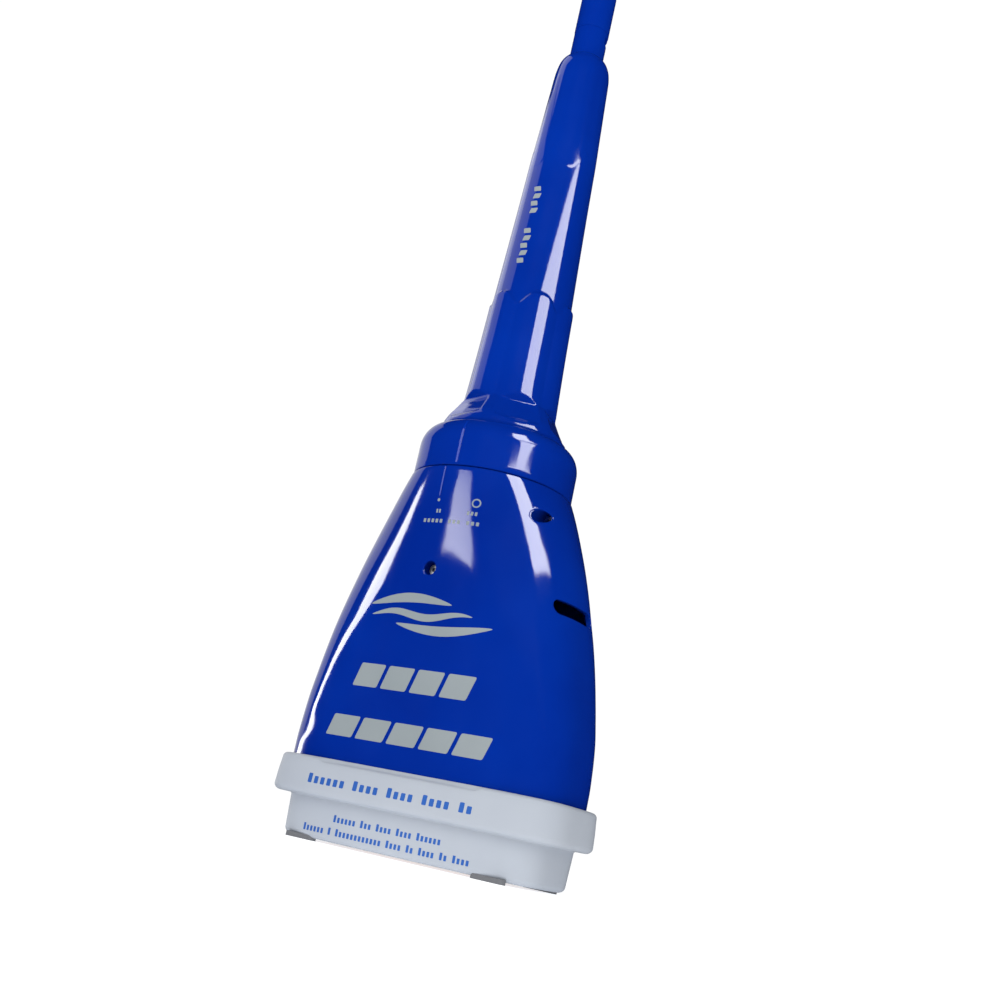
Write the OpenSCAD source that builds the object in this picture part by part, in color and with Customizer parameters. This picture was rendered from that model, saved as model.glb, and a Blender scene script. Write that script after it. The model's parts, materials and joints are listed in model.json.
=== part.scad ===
// Battery-powered pool vacuum head with a flared body, a pull-off nozzle and a twist-on handle.
// Millimetres. +Z runs up the handle, the front faces -Y, and the origin is the centre of the
// mouth plane on the handle's axis.

/* [Nozzle] */
// Half width of the nozzle's band
band_a = 84; // [82:0.5:86]
// Half depth of the nozzle's band
band_b = 35.5; // [34.5:0.5:36.5]
// Half width of the lip below the band
lip_a = 75; // [72:0.5:76]
// Half depth of the lip
lip_b = 30.5; // [29.5:0.5:31.5]
// Height of the band's lower edge above the mouth
lip_h = 21; // [20:0.5:22]
// Height of the band's upper edge above the mouth
band_top = 40; // [39:0.5:41]

/* [Body] */
// Wall thickness of the two body shells
wall = 2.6; // [2.2:0.1:2.8]
// Distance of the shell seam behind the handle axis
seam_y = 24; // [23:0.5:25]
// Height of the side outlets
outlet_z = 129.5; // [129:0.5:130]
// Length of a side outlet
outlet_l = 36; // [30:1:36]
// Height of a side outlet's opening
outlet_h = 7; // [6:0.5:7]

/* [Collar] */
// Outer radius of the twist collar
collar_r = 42; // [41.8:0.1:42.2]
// Height of the collar's lower edge
collar_z = 190.5; // [190.5:0.1:191]

/* [Handle] */
// Height of the seam between the collar and the handle's flare
flare_z = 218; // [217.5:0.5:218.5]
// Height of the handle's rounded shoulder
shoulder_z = 455; // [454:0.5:456]
// Radius of the spigot that takes a pole
spigot_r = 10; // [9.8:0.1:10.2]
// Height of the spigot's end
top_z = 520; // [516:1:524]

/* [Drive] */
// Radius of the motor can
motor_r = 18; // [17:0.5:18]
// Radius of the impeller
impeller_r = 25; // [23:0.5:26]
// Number of impeller vanes
vane_count = 6; // [5:1:8]
// Radius of one battery cell
cell_r = 7.25; // [7.1:0.05:7.25]
// Length of one battery cell
cell_l = 50.5; // [50:0.1:50.5]

/* [Hidden] */
eps = 0.01;
blue = "mediumblue";
white = "gainsboro";

// Outline points per quarter turn of every lofted shell
quarter_pts = 14;
ring_n = 4 * quarter_pts;
// Clearance of a part that drops into another
slip = 0.2;
// Radial clearance of a shaft or a bearing surface
running = 0.05;

// Stations of the body's outside, bottom to top: [z, half width, half depth, squareness, y centre]
BODY = [
    [33, 79.0, 31.0, 3.9, 4.5], [47, 79.0, 31.4, 3.9, 4.5], [58, 78.6, 31.9, 3.8, 4.5],
    [70, 77.6, 33.2, 3.6, 4.4], [82, 75.5, 35.0, 3.4, 4.2], [94, 73.1, 36.9, 3.2, 3.9],
    [106, 70.7, 38.7, 2.95, 3.5], [118, 68.1, 40.1, 2.7, 3.1], [130, 65.0, 41.1, 2.5, 2.6],
    [142, 62.0, 41.8, 2.3, 2.1], [154, 58.4, 42.1, 2.15, 1.6], [165, 54.3, 42.2, 2.07, 1.2],
    [175, 50.1, 42.2, 2.02, 0.9], [183, 46.6, 42.1, 2, 0.3], [190, 42.7, 42.1, 2, 0.1]
];
body_bottom = BODY[0][0];
body_top = BODY[len(BODY) - 1][0];

// Nozzle: the socket that takes the body, and the throat through it
socket_z = 31;
band_n = 4.2;
band_cy = 5.2;
lip_n = 4.2;
lip_cy = 6.5;
throat_x = 56;
throat_y = 14;
pad_h = 1.2;
PADS = [for (x = [-55, 55], y = [-1, 1]) [x, lip_cy + y * (lip_b - 5.2)]];

// Flap valve over the throat
flap_x = 58;
flap_y = 15.6;
flap_t = 2;
flap_z = socket_z + 0.1;
pin_r = 1.5;
knuckle_r = pin_r + 1.1;
pin_y = lip_cy + flap_y + 2.2;
pin_z = flap_z + 2.75;
pin_l = 80;
LUG_X = [-38, 0, 38];
lug_w = 4;
KNUCKLE_X = [-32, 20];
knuckle_w = 12;

// Frame that the filter bag is bound to
frame_x = 66;
frame_y = 25.5;
frame_h = 4;
// Stations of the bag's outside
BAG = [
    [socket_z + frame_h, 65, 25, 5, 4.6], [45, 66, 25.6, 4.2, 4.6], [62, 65.5, 26.5, 3.2, 4.4],
    [80, 62, 27.5, 3, 4], [94, 54, 26.5, 2.8, 3.6], [103, 40, 21, 2.6, 3.4], [107, 22, 12, 2.4, 3.4]
];
bag_t = 1.2;
bag_shoulder_z = 90;

// Bulkhead and pump
BULK = BODY[6];
bulk_z = 110;
bulk_t = 3;
inlet_r = 21;
impeller_z = 117;
impeller_h = 15;
shaft_r = 1.5;

// Motor housing, its neck and its lid
hous_z = 134.5;
hous_floor = 3.5;
hous_r = 29;
hous_wall = 2.5;
neck_r = 38;
neck_wall = 2.4;
neck_z0 = 180;
neck_z1 = 207;
neck_flange_r = 38.9;
flange_top = neck_z0 + 5.4;
lid_z = 191;
lid_t = 3;
lug_z = 201.5;
lug_h = 3;
lug_r = 39.3;
lug_deg = 16;
ear_l = 20;
ear_w = 14.2;
ear_end_r = 46.4;
oring_z = 195.5;
oring_r = 1.1;
LID_SCREW_DEG = [30, 150, 270];
lid_screw_r = 31;

// Body screws: [x, z] of each, parallel to Y, and the depth at which each head sits
FRONT_SCREWS = [[0, 137.5], [44.6, 172.5], [-44.6, 172.5]];
BACK_SCREWS = [[0, 137.5], [33.2, 172.5], [-33.2, 172.5]];
screw_bore_r = 3.4;
screw_head_r = 2.7;
screw_head_h = 2.2;
screw_shank_r = 1.5;
front_seat = [-33, -9.5, -9.5];
back_seat = [33, 9.5, 9.5];
seat_t = 2.2;

// Motor
motor_z = 142;
motor_l = 34;
endbell_h = 5;
motor_screw_x = 12;
motor_top = motor_z + motor_l;
// Height of the leads' cross run above the motor
lead_rise = 11.6;
lead_r = 1;
// Contact pins, side to side
pin_minus = -8;
pin_plus = 20;
contact_r = 2;

// Handle: stations of its outside, [z, radius at a lobe, radius in a valley]
HANDLE = [
    [flare_z, 33.6, 33.6], [221, 33.2, 33.1], [224.5, 31.9, 31.6], [229.5, 28.9, 28.5],
    [234, 26.1, 25.7], [237, 25.7, 24.8], [241, 25.5, 24.1], [255, 24.9, 23.4], [275, 24.1, 22.7],
    [294, 23.5, 22.1], [297.5, 22.6, 21.8], [299.5, 21.5, 21.5], [330, 20.3, 20.3],
    [360, 19.2, 19.2], [382, 18.5, 18.5], [386, 18.6, 18.1], [405, 17.7, 17.2],
    [430, 16.5, 16.0], [443, 15.8, 15.4], [448, 14.9, 14.7], [452, 13.2, 13.2],
    [shoulder_z, 10.6, 10.6]
];
lobe_count = 6;
lobe_turn = 12;
// The handle's foot inside the collar, and the screws that hold it down
foot_z = 210.1;
foot_r = 33.3;
web_z = 207.4;
foot_screw_r = 29.4;
// Height of the seal between the foot and the collar
seal_z = 213.5;
// Contact board and its tracks
board_z = 210.3;
board_t = 1.6;
ring_t = 1.8;
index_deg = 4.5;

// Battery pack
pack_r = 17.35;
bore_r = 17.6;
bore_top = 364;
pack_z = 238;
disc_t = 2;
layer_gap = 3;
cell_x = cell_r + 0.03;
CELL_AT = [for (x = [-1, 1], y = [-1, 1]) [x * cell_x, y * cell_x]];
layer_h = cell_l + 2 * layer_gap;
disc_z = [pack_z, pack_z + disc_t + layer_h, pack_z + 2 * (disc_t + layer_h)];
bus_w = 4;
bus_t = 0.6;

// Spigot, its key notch and its snap buttons
spigot_wall = 2.8;
spigot_foot_z = 434;
notch_z0 = 466.5;
notch_z1 = 471.5;
// The spigot bears on its pole over this land, and is eased above and below it
land_z0 = 473.5;
land_z1 = 499.5;
ease = 0.2;
button_z = 505;
button_r = 3.2;
clip_z = 478;
pivot_z = clip_z - 2.5;
clip_x = 2.2;
clip_t = 0.6;
clip_w = 5;
// Offset of the clip's leg at the button
leg_x = 6.2;

// One point of a rounded-rectangle ring: half width a, half depth b, squareness n, angle t
function ring_pt(a, b, n, t) =
    let (k = pow(pow(abs(cos(t)), n) + pow(abs(sin(t)), n), -1 / n))
    [a * k * cos(t), b * k * sin(t)];
// A ring of 3D points for a station [z, a, b, n, cy], drawn in by d all round
function ring(s, d = 0) = [
    for (i = [0:ring_n - 1])
        let (p = ring_pt(s[1] - d, s[2] - d, s[3], (i + 0.5) * 360 / ring_n))
        [p[0], p[1] + s[4], s[0]]
];
// A ring of the handle: radius swings between lobe and valley
function lobed_ring(s) = [
    for (i = [0:ring_n - 1])
        let (t = (i + 0.5) * 360 / ring_n, w = 0.5 + 0.5 * cos(lobe_count * (t - lobe_turn)))
        let (r = s[2] + (s[1] - s[2]) * pow(w, 0.6))
        [r * cos(t), r * sin(t), s[0]]
];

// Solid through a list of rings of equal point counts, bottom to top
module skin(rings) {
    n = len(rings[0]);
    m = len(rings);
    pts = [for (r = rings) each r];
    sides = [
        for (j = [0:m - 2], i = [0:n - 1])
            let (k = (i + 1) % n)
            each [
                [j * n + i, (j + 1) * n + i, j * n + k],
                [j * n + k, (j + 1) * n + i, (j + 1) * n + k]
            ]
    ];
    caps = [[for (i = [0:n - 1]) i], [for (i = [n - 1:-1:0]) (m - 1) * n + i]];
    polyhedron(points = pts, faces = concat(sides, caps), convexity = 6);
}
module loft(stations, d = 0) skin([for (s = stations) ring(s, d)]);
// Rounded rectangle with true arcs
module rrect(hx, hy, r) {
    square([2 * hx - 2 * r, 2 * hy], center = true);
    square([2 * hx, 2 * hy - 2 * r], center = true);
    for (x = [-1, 1], y = [-1, 1])
        translate([x * (hx - r), y * (hy - r)]) circle(r, $fn = 48);
}
module slab(hx, hy, r, z0, z1, cy) {
    translate([0, cy, z0]) linear_extrude(z1 - z0) rrect(hx, hy, r);
}
module rod(r, z0, z1) translate([0, 0, z0]) cylinder(r = r, h = z1 - z0, $fn = 96);
module tube(ro, ri, z0, z1) {
    difference() {
        rod(ro, z0, z1);
        rod(ri, z0 - eps, z1 + eps);
    }
}
// Cylinder along +Y between two y values
module yrod(r, x, z, y0, y1) {
    translate([x, y0, z]) rotate([-90, 0, 0]) cylinder(r = r, h = y1 - y0, $fn = 48);
}
// Cylinder along +X between two x values
module xrod(r, y, z, x0, x1) {
    translate([x0, y, z]) rotate([0, 90, 0]) cylinder(r = r, h = x1 - x0, $fn = 48);
}
// Helical wire of radius w, turns of radius r0 at the foot and r1 at the top
module coil(r0, r1, w, z0, z1, turns) {
    steps = 9 * turns;
    skin([
        for (j = [0:steps])
            let (u = j / steps, a = 360 * turns * u, r = r0 + (r1 - r0) * u)
            [for (i = [0:5])
                let (q = -60 * i, d = r + w * cos(q))
                [d * cos(a), d * sin(a), z0 + w + (z1 - z0 - 2 * w) * u + w * sin(q)]]
    ]);
}

// ---- Nozzle ----
module nozzle_cap() color(white) {
    round_r = 3;
    difference() {
        union() {
            loft([
                for (t = [0:3])
                    [lip_h + round_r * (1 - cos(30 * t)), band_a - round_r * (1 - sin(30 * t)),
                     band_b - round_r * (1 - sin(30 * t)), band_n, band_cy],
                [band_top - 4, band_a - 0.6, band_b - 0.6, band_n, band_cy],
                [band_top - 1.2, band_a - 1.4, band_b - 1.4, band_n, band_cy],
                [band_top, band_a - 2.6, band_b - 2.6, band_n, band_cy]
            ]);
            loft([
                [pad_h, lip_a - 3.2, lip_b - 3.2, lip_n, lip_cy],
                [pad_h + 1.2, lip_a - 1.6, lip_b - 1.6, lip_n, lip_cy],
                [pad_h + 3, lip_a - 0.8, lip_b - 0.8, lip_n, lip_cy],
                [lip_h - 3, lip_a, lip_b, lip_n, lip_cy],
                [lip_h + 4, lip_a, lip_b, lip_n, lip_cy]
            ]);
        }
        // Socket for the body's lower edge
        loft([
            [socket_z, BODY[0][1] + slip, BODY[0][2] + slip, BODY[0][3], BODY[0][4]],
            [band_top + 1, BODY[0][1] + slip, BODY[0][2] + slip, BODY[0][3], BODY[0][4]]
        ]);
        // Mouth, narrowing to the throat
        loft([
            [0, lip_a - 9, lip_b - 8, 5, lip_cy], [6, lip_a - 10, lip_b - 9, 5, lip_cy],
            [22, throat_x + 2, throat_y + 1, 7, lip_cy], [26, throat_x, throat_y, 8, lip_cy],
            [socket_z + 1, throat_x, throat_y, 8, lip_cy]
        ]);
        // Seats of the glide pads
        for (p = PADS) translate([p[0], p[1], -eps])
            linear_extrude(pad_h + 1.2) rrect(9, 2.6, 2.4);
        // Finger recess in the band's front edge
        translate([0, band_cy - band_b - 1, band_top - 1.5]) linear_extrude(4) rrect(46, 3, 2.9);
    }
    // Pin lugs of the flap
    for (x = LUG_X) difference() {
        union() {
            translate([x - lug_w / 2, pin_y - knuckle_r, socket_z - eps])
                cube([lug_w, 2 * knuckle_r, pin_z - socket_z]);
            xrod(knuckle_r, pin_y, pin_z, x - lug_w / 2, x + lug_w / 2);
        }
        xrod(pin_r, pin_y, pin_z, x - lug_w, x + lug_w);
    }
}
module glide_pads() color("dimgray") {
    for (p = PADS) translate([p[0], p[1], 0])
        linear_extrude(pad_h + 1.2 - eps) rrect(8.9, 2.5, 2.3);
}
module nozzle_seal() color("black") {
    translate([0, 0, socket_z]) difference() {
        linear_extrude(body_bottom - socket_z)
            polygon([for (p = ring([0, BODY[0][1] - 0.3, BODY[0][2] - 0.3, BODY[0][3], BODY[0][4]]))
                [p[0], p[1]]]);
        translate([0, 0, -1]) linear_extrude(5)
            polygon([for (p = ring([0, BODY[0][1] - 3, BODY[0][2] - 3, BODY[0][3], BODY[0][4]]))
                [p[0], p[1]]]);
    }
}
module bag_frame() color("royalblue") {
    difference() {
        slab(frame_x, frame_y, 14, socket_z, socket_z + frame_h, BODY[0][4]);
        slab(flap_x + 3, frame_y - 2.2, 12, socket_z - 1, socket_z + frame_h + 1, BODY[0][4]);
    }
}
module filter_bag() color("whitesmoke") {
    difference() {
        loft(BAG);
        // The inside stops short of the crown and runs out through the open foot
        loft([for (s = BAG) [s[0] - (s[0] > bag_shoulder_z ? bag_t : s == BAG[0] ? 1 : 0),
                             s[1], s[2], s[3], s[4]]], bag_t);
    }
}
module flap_pin() color("silver") {
    xrod(pin_r - running, pin_y, pin_z, -pin_l / 2, pin_l / 2);
}
module flap_valve() color("darkorange") {
    difference() {
        union() {
            slab(flap_x, flap_y, 3, flap_z, flap_z + flap_t, lip_cy);
            for (x = KNUCKLE_X) {
                translate([x, lip_cy + flap_y - 3, flap_z])
                    cube([knuckle_w, pin_y - lip_cy - flap_y + 3, flap_t]);
                xrod(knuckle_r, pin_y, pin_z, x, x + knuckle_w);
            }
        }
        xrod(pin_r + running, pin_y, pin_z, -pin_l, pin_l);
        // Notches round the nozzle's lugs
        for (x = LUG_X) translate([x - lug_w / 2 - 0.6, pin_y - knuckle_r - 0.6, flap_z - 1])
            cube([lug_w + 1.2, 12, 5]);
    }
}

// ---- Body ----
module outlets() {
    for (s = [-1, 1]) translate([s * 62, 0, outlet_z]) rotate([90, 0, 90])
        translate([0, 0, -22]) linear_extrude(44) rrect(outlet_l / 2, outlet_h / 2, outlet_h / 2 - eps);
}
// Wells that take the screws, from well outside the body to just past each seat
module wells(front) {
    for (i = [0:2])
        if (front)
            yrod(screw_bore_r + 1.5, FRONT_SCREWS[i][0], FRONT_SCREWS[i][1], -60,
                 front_seat[i] + seat_t);
        else
            yrod(screw_bore_r + 1.5, BACK_SCREWS[i][0], BACK_SCREWS[i][1], back_seat[i] - seat_t, 60);
}
module body_half(front) {
    // The cavity uses every second station, from below the bottom edge to the neck's flange
    top = len(BODY) - 2;
    cavity = concat(
        [[body_bottom - 1, BODY[0][1], BODY[0][2], BODY[0][3], BODY[0][4]]],
        [for (i = [2:2:top - 1]) BODY[i]],
        [[flange_top, BODY[top][1] - 1, BODY[top][2], BODY[top][3], BODY[top][4]]]);
    difference() {
        loft(BODY);
        difference() {
            loft(cavity, wall);
            wells(front);
            // Ledge that carries the bulkhead
            difference() {
                translate([-90, -60, bulk_z - 2.2]) cube([180, 120, 2]);
                slab(58, 30, 20, bulk_z - 4, bulk_z + 4, BODY[6][4]);
            }
        }
        for (i = [0:2]) if (front) {
            yrod(screw_bore_r, FRONT_SCREWS[i][0], FRONT_SCREWS[i][1], -60, front_seat[i]);
            yrod(screw_shank_r + 0.1, FRONT_SCREWS[i][0], FRONT_SCREWS[i][1], -60, 0);
        } else {
            yrod(screw_bore_r, BACK_SCREWS[i][0], BACK_SCREWS[i][1], back_seat[i], 60);
            yrod(screw_shank_r + 0.1, BACK_SCREWS[i][0], BACK_SCREWS[i][1], 0, 60);
        }
        outlets();
        // Bore round the neck, above its flange
        rod(neck_r + 0.02, flange_top - eps, body_top + 10);
        // The other half's side of the seam
        difference() {
            translate([-100, front ? seam_y - 0.15 : seam_y - 200, 0]) cube([200, 200, 300]);
            wells(front);
        }
    }
}
module body_front() color(blue) body_half(true);
module body_back() color(blue) body_half(false);

module screw_y(x, z, y_head, dir, length) {
    // Pan-head screw whose head faces away from the body, with a hex socket
    difference() {
        union() {
            yrod(screw_head_r, x, z, min(y_head, y_head - dir * screw_head_h),
                 max(y_head, y_head - dir * screw_head_h));
            yrod(screw_shank_r, x, z, min(y_head, y_head + dir * length),
                 max(y_head, y_head + dir * length));
        }
        translate([x, y_head - dir * screw_head_h, z]) rotate([90, 0, 0])
            cylinder(r = 1.3, h = 2.4, center = true, $fn = 6);
    }
}
module body_screws() color("silver") {
    for (i = [0:2]) {
        screw_y(FRONT_SCREWS[i][0], FRONT_SCREWS[i][1], front_seat[i], 1, i == 0 ? 6.5 : 8.5);
        screw_y(BACK_SCREWS[i][0], BACK_SCREWS[i][1], back_seat[i], -1, i == 0 ? 6.5 : 8.5);
    }
}
module bulkhead() color("dimgray") {
    difference() {
        loft([[bulk_z, BULK[1], BULK[2], BULK[3], BULK[4]],
              [bulk_z + bulk_t, BULK[1], BULK[2], BULK[3], BULK[4]]], wall + 2);
        rod(inlet_r, bulk_z - 1, bulk_z + 10);
    }
    // Skirt round the inlet that meets the impeller's eye
    tube(inlet_r + 4, inlet_r, bulk_z + bulk_t - eps, bulk_z + 5);
}
module inlet_grille() color("dimgray") {
    difference() {
        union() {
            rod(inlet_r - slip, bulk_z - 0.4, bulk_z + 2);
            rod(inlet_r + 3, bulk_z - 2, bulk_z - 0.4);
        }
        for (x = [-3:3])
            translate([x * 5.4, 0, bulk_z - 3]) linear_extrude(8)
                rrect(1.7, sqrt(pow(inlet_r - 2.4, 2) - pow(x * 5.4, 2)), 1.6);
    }
}

// ---- Motor and its housing ----
module motor_housing() color("slategray") {
    difference() {
        union() {
            difference() {
                union() {
                    rod(hous_r, hous_z, neck_z0 + 4);
                    rod(neck_r, neck_z0, neck_z1);
                    rod(neck_flange_r, flange_top - 2.4, flange_top);
                }
                rod(hous_r - hous_wall, hous_z + hous_floor, neck_z0 + 20);
                rod(neck_r - neck_wall, neck_z0 + 4, neck_z1 + 1);
            }
            // Ledge under the lid, and its screw posts
            tube(neck_r - neck_wall + eps, neck_r - 4.2, lid_z - 3, lid_z - 0.8);
            for (a = LID_SCREW_DEG) rotate([0, 0, a]) translate([lid_screw_r, 0, neck_z0 + 4 - eps])
                cylinder(r = 3, h = lid_z - neck_z0 - 4.8, $fn = 32);
            // Ears that take the body screws
            for (s = [-1, 1]) intersection() {
                translate([s > 0 ? hous_r - 1.5 : 1.5 - hous_r - ear_l, -ear_w / 2,
                           FRONT_SCREWS[1][1] - 3.2]) cube([ear_l, ear_w, 6.4]);
                rod(ear_end_r, neck_z0 - 20, neck_z0);
            }
            for (s = [-1, 1]) yrod(3, 0, FRONT_SCREWS[0][1], s > 0 ? hous_r - 3 : -30.6,
                                   s > 0 ? 30.6 : 3 - hous_r);
            // Bayonet lugs
            for (s = [0, 180]) rotate([0, 0, s - lug_deg / 2]) rotate_extrude(angle = lug_deg, $fn = 96)
                translate([neck_r - 1, lug_z]) square([lug_r - neck_r + 1, lug_h]);
            // Pads the motor stands on
            tube(9, 6, hous_z + hous_floor - eps, motor_z);
        }
        rod(5.5, hous_z - 1, hous_z + hous_floor + 1);
        for (i = [1, 2]) {
            yrod(screw_shank_r + 0.02, FRONT_SCREWS[i][0], FRONT_SCREWS[i][1], -10, 0);
            yrod(screw_shank_r + 0.02, BACK_SCREWS[i][0], BACK_SCREWS[i][1], 0, 10);
        }
        for (s = [-1, 1]) yrod(screw_shank_r + 0.02, 0, FRONT_SCREWS[0][1], s > 0 ? 26 : -32,
                               s > 0 ? 32 : -26);
        for (a = LID_SCREW_DEG) rotate([0, 0, a]) translate([lid_screw_r, 0, neck_z0 + 5.4])
            cylinder(r = 1.22, h = 20, $fn = 32);
        for (s = [-1, 1]) translate([s * motor_screw_x, 0, hous_z - 1]) {
            cylinder(r = 1.3, h = 20, $fn = 32);
            cylinder(r = 2.5, h = 2.6, $fn = 32);
        }
        // O-ring groove
        difference() {
            rod(neck_r + 1, oring_z - oring_r, oring_z + oring_r);
            rod(neck_r - 1.6, oring_z - 2, oring_z + 2);
        }
    }
}
module neck_oring() color("black") {
    rotate_extrude($fn = 96) translate([neck_r - 0.8, oring_z]) circle(r = 0.79, $fn = 24);
}
module motor_can() color("silver") {
    difference() {
        rod(motor_r, motor_z, motor_top);
        rod(motor_r - 1.2, motor_z + 1.5, motor_top + 1);
        rod(4, motor_z - 1, motor_z + 3);
        for (s = [-1, 1]) translate([s * motor_screw_x, 0, motor_z - 1]) cylinder(r = 1.27, h = 4, $fn = 32);
    }
}
module motor_magnets() color("darkslategray") {
    for (s = [0, 180]) rotate([0, 0, s - 55]) rotate_extrude(angle = 110, $fn = 96)
        translate([motor_r - 4.2, motor_z + 4]) square([2.9, motor_l - 10]);
}
module motor_endbell() color("ivory") {
    difference() {
        union() {
            rod(motor_r, motor_top, motor_top + endbell_h - 2);
            rod(9, motor_top, motor_top + endbell_h);
        }
        rod(4, motor_top - 1, motor_top + endbell_h - 1);
        rod(shaft_r + 0.3, motor_top, motor_top + endbell_h + 1);
        for (s = [-1, 1]) translate([s * motor_screw_x - 0.42, -1.6, motor_top - 1])
            cube([0.84, 3.2, 8]);
    }
}
module motor_terminals() color("gold") {
    for (s = [-1, 1]) translate([s * motor_screw_x - 0.4, -1.5, motor_top + 0.5]) cube([0.8, 3, 8]);
}
module motor_leads() color("firebrick") {
    run_z = motor_top + lead_rise;
    for (p = [[-motor_screw_x, pin_minus], [motor_screw_x, pin_plus]]) {
        translate([p[0], 0, run_z - 3.1]) cylinder(r = lead_r, h = 3.2, $fn = 24);
        xrod(lead_r, 0, run_z, min(p[0], p[1]), max(p[0], p[1]));
        translate([p[1], 0, run_z]) cylinder(r = lead_r, h = lid_z - 0.3 - run_z, $fn = 24);
        for (x = p) translate([x, 0, run_z]) sphere(r = lead_r, $fn = 24);
    }
}
module motor_screws() color("silver") {
    for (s = [-1, 1]) translate([s * motor_screw_x, 0, hous_z + 0.1]) {
        cylinder(r = 2.3, h = 1.4, $fn = 32);
        cylinder(r = 1.25, h = 9, $fn = 32);
    }
}
module motor_bearings() color("peru") {
    tube(3.98, shaft_r + running, motor_z + 0.1, motor_z + 3.4);
    tube(3.98, shaft_r + running, motor_top + 0.1, motor_top + endbell_h - 1.1);
}
module shaft_seal() color("black") {
    tube(5.48, shaft_r + running, hous_z + 0.2, hous_z + hous_floor);
}
module housing_lid() color("slategray") {
    difference() {
        union() {
            rod(neck_r - neck_wall - 0.1, lid_z, lid_z + lid_t);
            for (x = [pin_minus, pin_plus]) translate([x, 0, lid_z])
                cylinder(r = 4, h = lid_t + 3, $fn = 48);
        }
        for (x = [pin_minus, pin_plus]) translate([x, 0, lid_z - 1])
            cylinder(r = contact_r + 0.02, h = 20, $fn = 48);
        for (a = LID_SCREW_DEG) rotate([0, 0, a]) translate([lid_screw_r, 0, lid_z - 1])
            cylinder(r = 1.3, h = 10, $fn = 32);
    }
}
module lid_seal() color("black") {
    difference() {
        tube(neck_r - neck_wall - 0.1, neck_r - 4.1, lid_z - 0.8, lid_z);
        for (a = LID_SCREW_DEG) rotate([0, 0, a]) translate([lid_screw_r, 0, lid_z - 2])
            cylinder(r = 3.1, h = 10, $fn = 32);
    }
}
module lid_screws() color("silver") {
    for (a = LID_SCREW_DEG) rotate([0, 0, a]) translate([lid_screw_r, 0, 0]) {
        rod(1.2, lid_z - 5, lid_z + lid_t + 0.1);
        difference() {
            rod(2.4, lid_z + lid_t, lid_z + lid_t + 1.6);
            translate([0, 0, lid_z + lid_t + 0.6]) cube([3.2, 0.7, 4], center = true);
        }
    }
}
module contact_pins() color("goldenrod") {
    for (x = [pin_minus, pin_plus]) translate([x, 0, 0]) {
        rod(contact_r, lid_z, board_z - 6);
        rod(1.2, board_z - 6 - eps, board_z - ring_t - 0.1);
    }
}

// ---- Rotor ----
module motor_shaft() color("silver") {
    rod(shaft_r, impeller_z - 1.5, motor_top + endbell_h - 0.6);
}
module motor_core() color("peru") {
    difference() {
        union() {
            rod(motor_r - 5, motor_z + 6, motor_top - 8);
            rod(4, motor_top - 8 - eps, motor_top - 1);
        }
        rod(shaft_r, motor_z, motor_top);
        for (a = [0:72:288]) rotate([0, 0, a]) translate([motor_r - 6.5, -0.8, motor_z])
            cube([4, 1.6, motor_l - 7]);
    }
}
module impeller() color("darkgray") {
    difference() {
        union() {
            rod(5.5, impeller_z, impeller_z + impeller_h);
            rod(impeller_r, impeller_z + impeller_h - 2, impeller_z + impeller_h);
            for (k = [0:vane_count - 1]) rotate([0, 0, k * 360 / vane_count])
                intersection() {
                    rod(impeller_r - 0.2, impeller_z, impeller_z + impeller_h);
                    // One backward-curved vane, an arc of a ring through the hub
                    translate([impeller_r * 0.5, -impeller_r * 0.34, impeller_z])
                        difference() {
                            cylinder(r = impeller_r * 0.62, h = impeller_h - 1, $fn = 64);
                            translate([0, 0, -1])
                                cylinder(r = impeller_r * 0.62 - 1.6, h = impeller_h + 2, $fn = 64);
                            translate([-60, -120.01, -2]) cube([120, 120, 40]);
                        }
                }
        }
        rod(shaft_r, impeller_z - 1, impeller_z + impeller_h + 1);
    }
}
module impeller_nut() color("goldenrod") {
    difference() {
        translate([0, 0, impeller_z - 2.5]) cylinder(r = 3.2, h = 2.5, $fn = 6);
        rod(shaft_r, impeller_z - 3, impeller_z + 1);
    }
}

// ---- Twist collar and handle ----
module collar_ring() color(blue) {
    shoulder_r = 8;
    difference() {
        union() {
            rotate_extrude($fn = 128) polygon(concat(
                [[30, collar_z], [collar_r - 0.8, collar_z], [collar_r, collar_z + 0.8]],
                [for (t = [0:6]) [collar_r - shoulder_r * (1 - cos(15 * t)),
                                  flare_z - 11.5 + 10.9 * sin(15 * t)]],
                [[30, flare_z - 0.6]]));
            // Raised index line
            rotate([0, 0, index_deg]) translate([-0.6, -collar_r - 0.35, collar_z + 1.5])
                cube([1.2, 1.5, 15]);
        }
        rod(neck_r + running, 100, web_z);
        rod(25.6, 100, 300);
        rod(foot_r + 0.1, foot_z - 0.1, 300);
        rod(lug_r + 0.2, lug_z - 0.3, lug_z + lug_h + 0.3);
        // Entry slots of the bayonet
        for (s = [0, 180]) rotate([0, 0, s + 60]) rotate_extrude(angle = lug_deg + 3, $fn = 96)
            translate([neck_r - 2, collar_z - 1]) square([lug_r - neck_r + 2.1, lug_z - collar_z + 2]);
        for (a = [45:90:315]) rotate([0, 0, a]) translate([foot_screw_r, 0, web_z - 1])
            cylinder(r = 1.35, h = 10, $fn = 32);
    }
}
module collar_screws() color("silver") {
    for (a = [45:90:315]) rotate([0, 0, a]) translate([foot_screw_r, 0, 0]) {
        rod(1.3, web_z - eps, web_z + 9.5);
        rod(2.6, web_z - 1.8, web_z);
    }
}
module flare_seal() color("black") {
    rotate_extrude($fn = 96) translate([foot_r - 0.75, seal_z]) circle(r = 0.8, $fn = 24);
}
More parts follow.
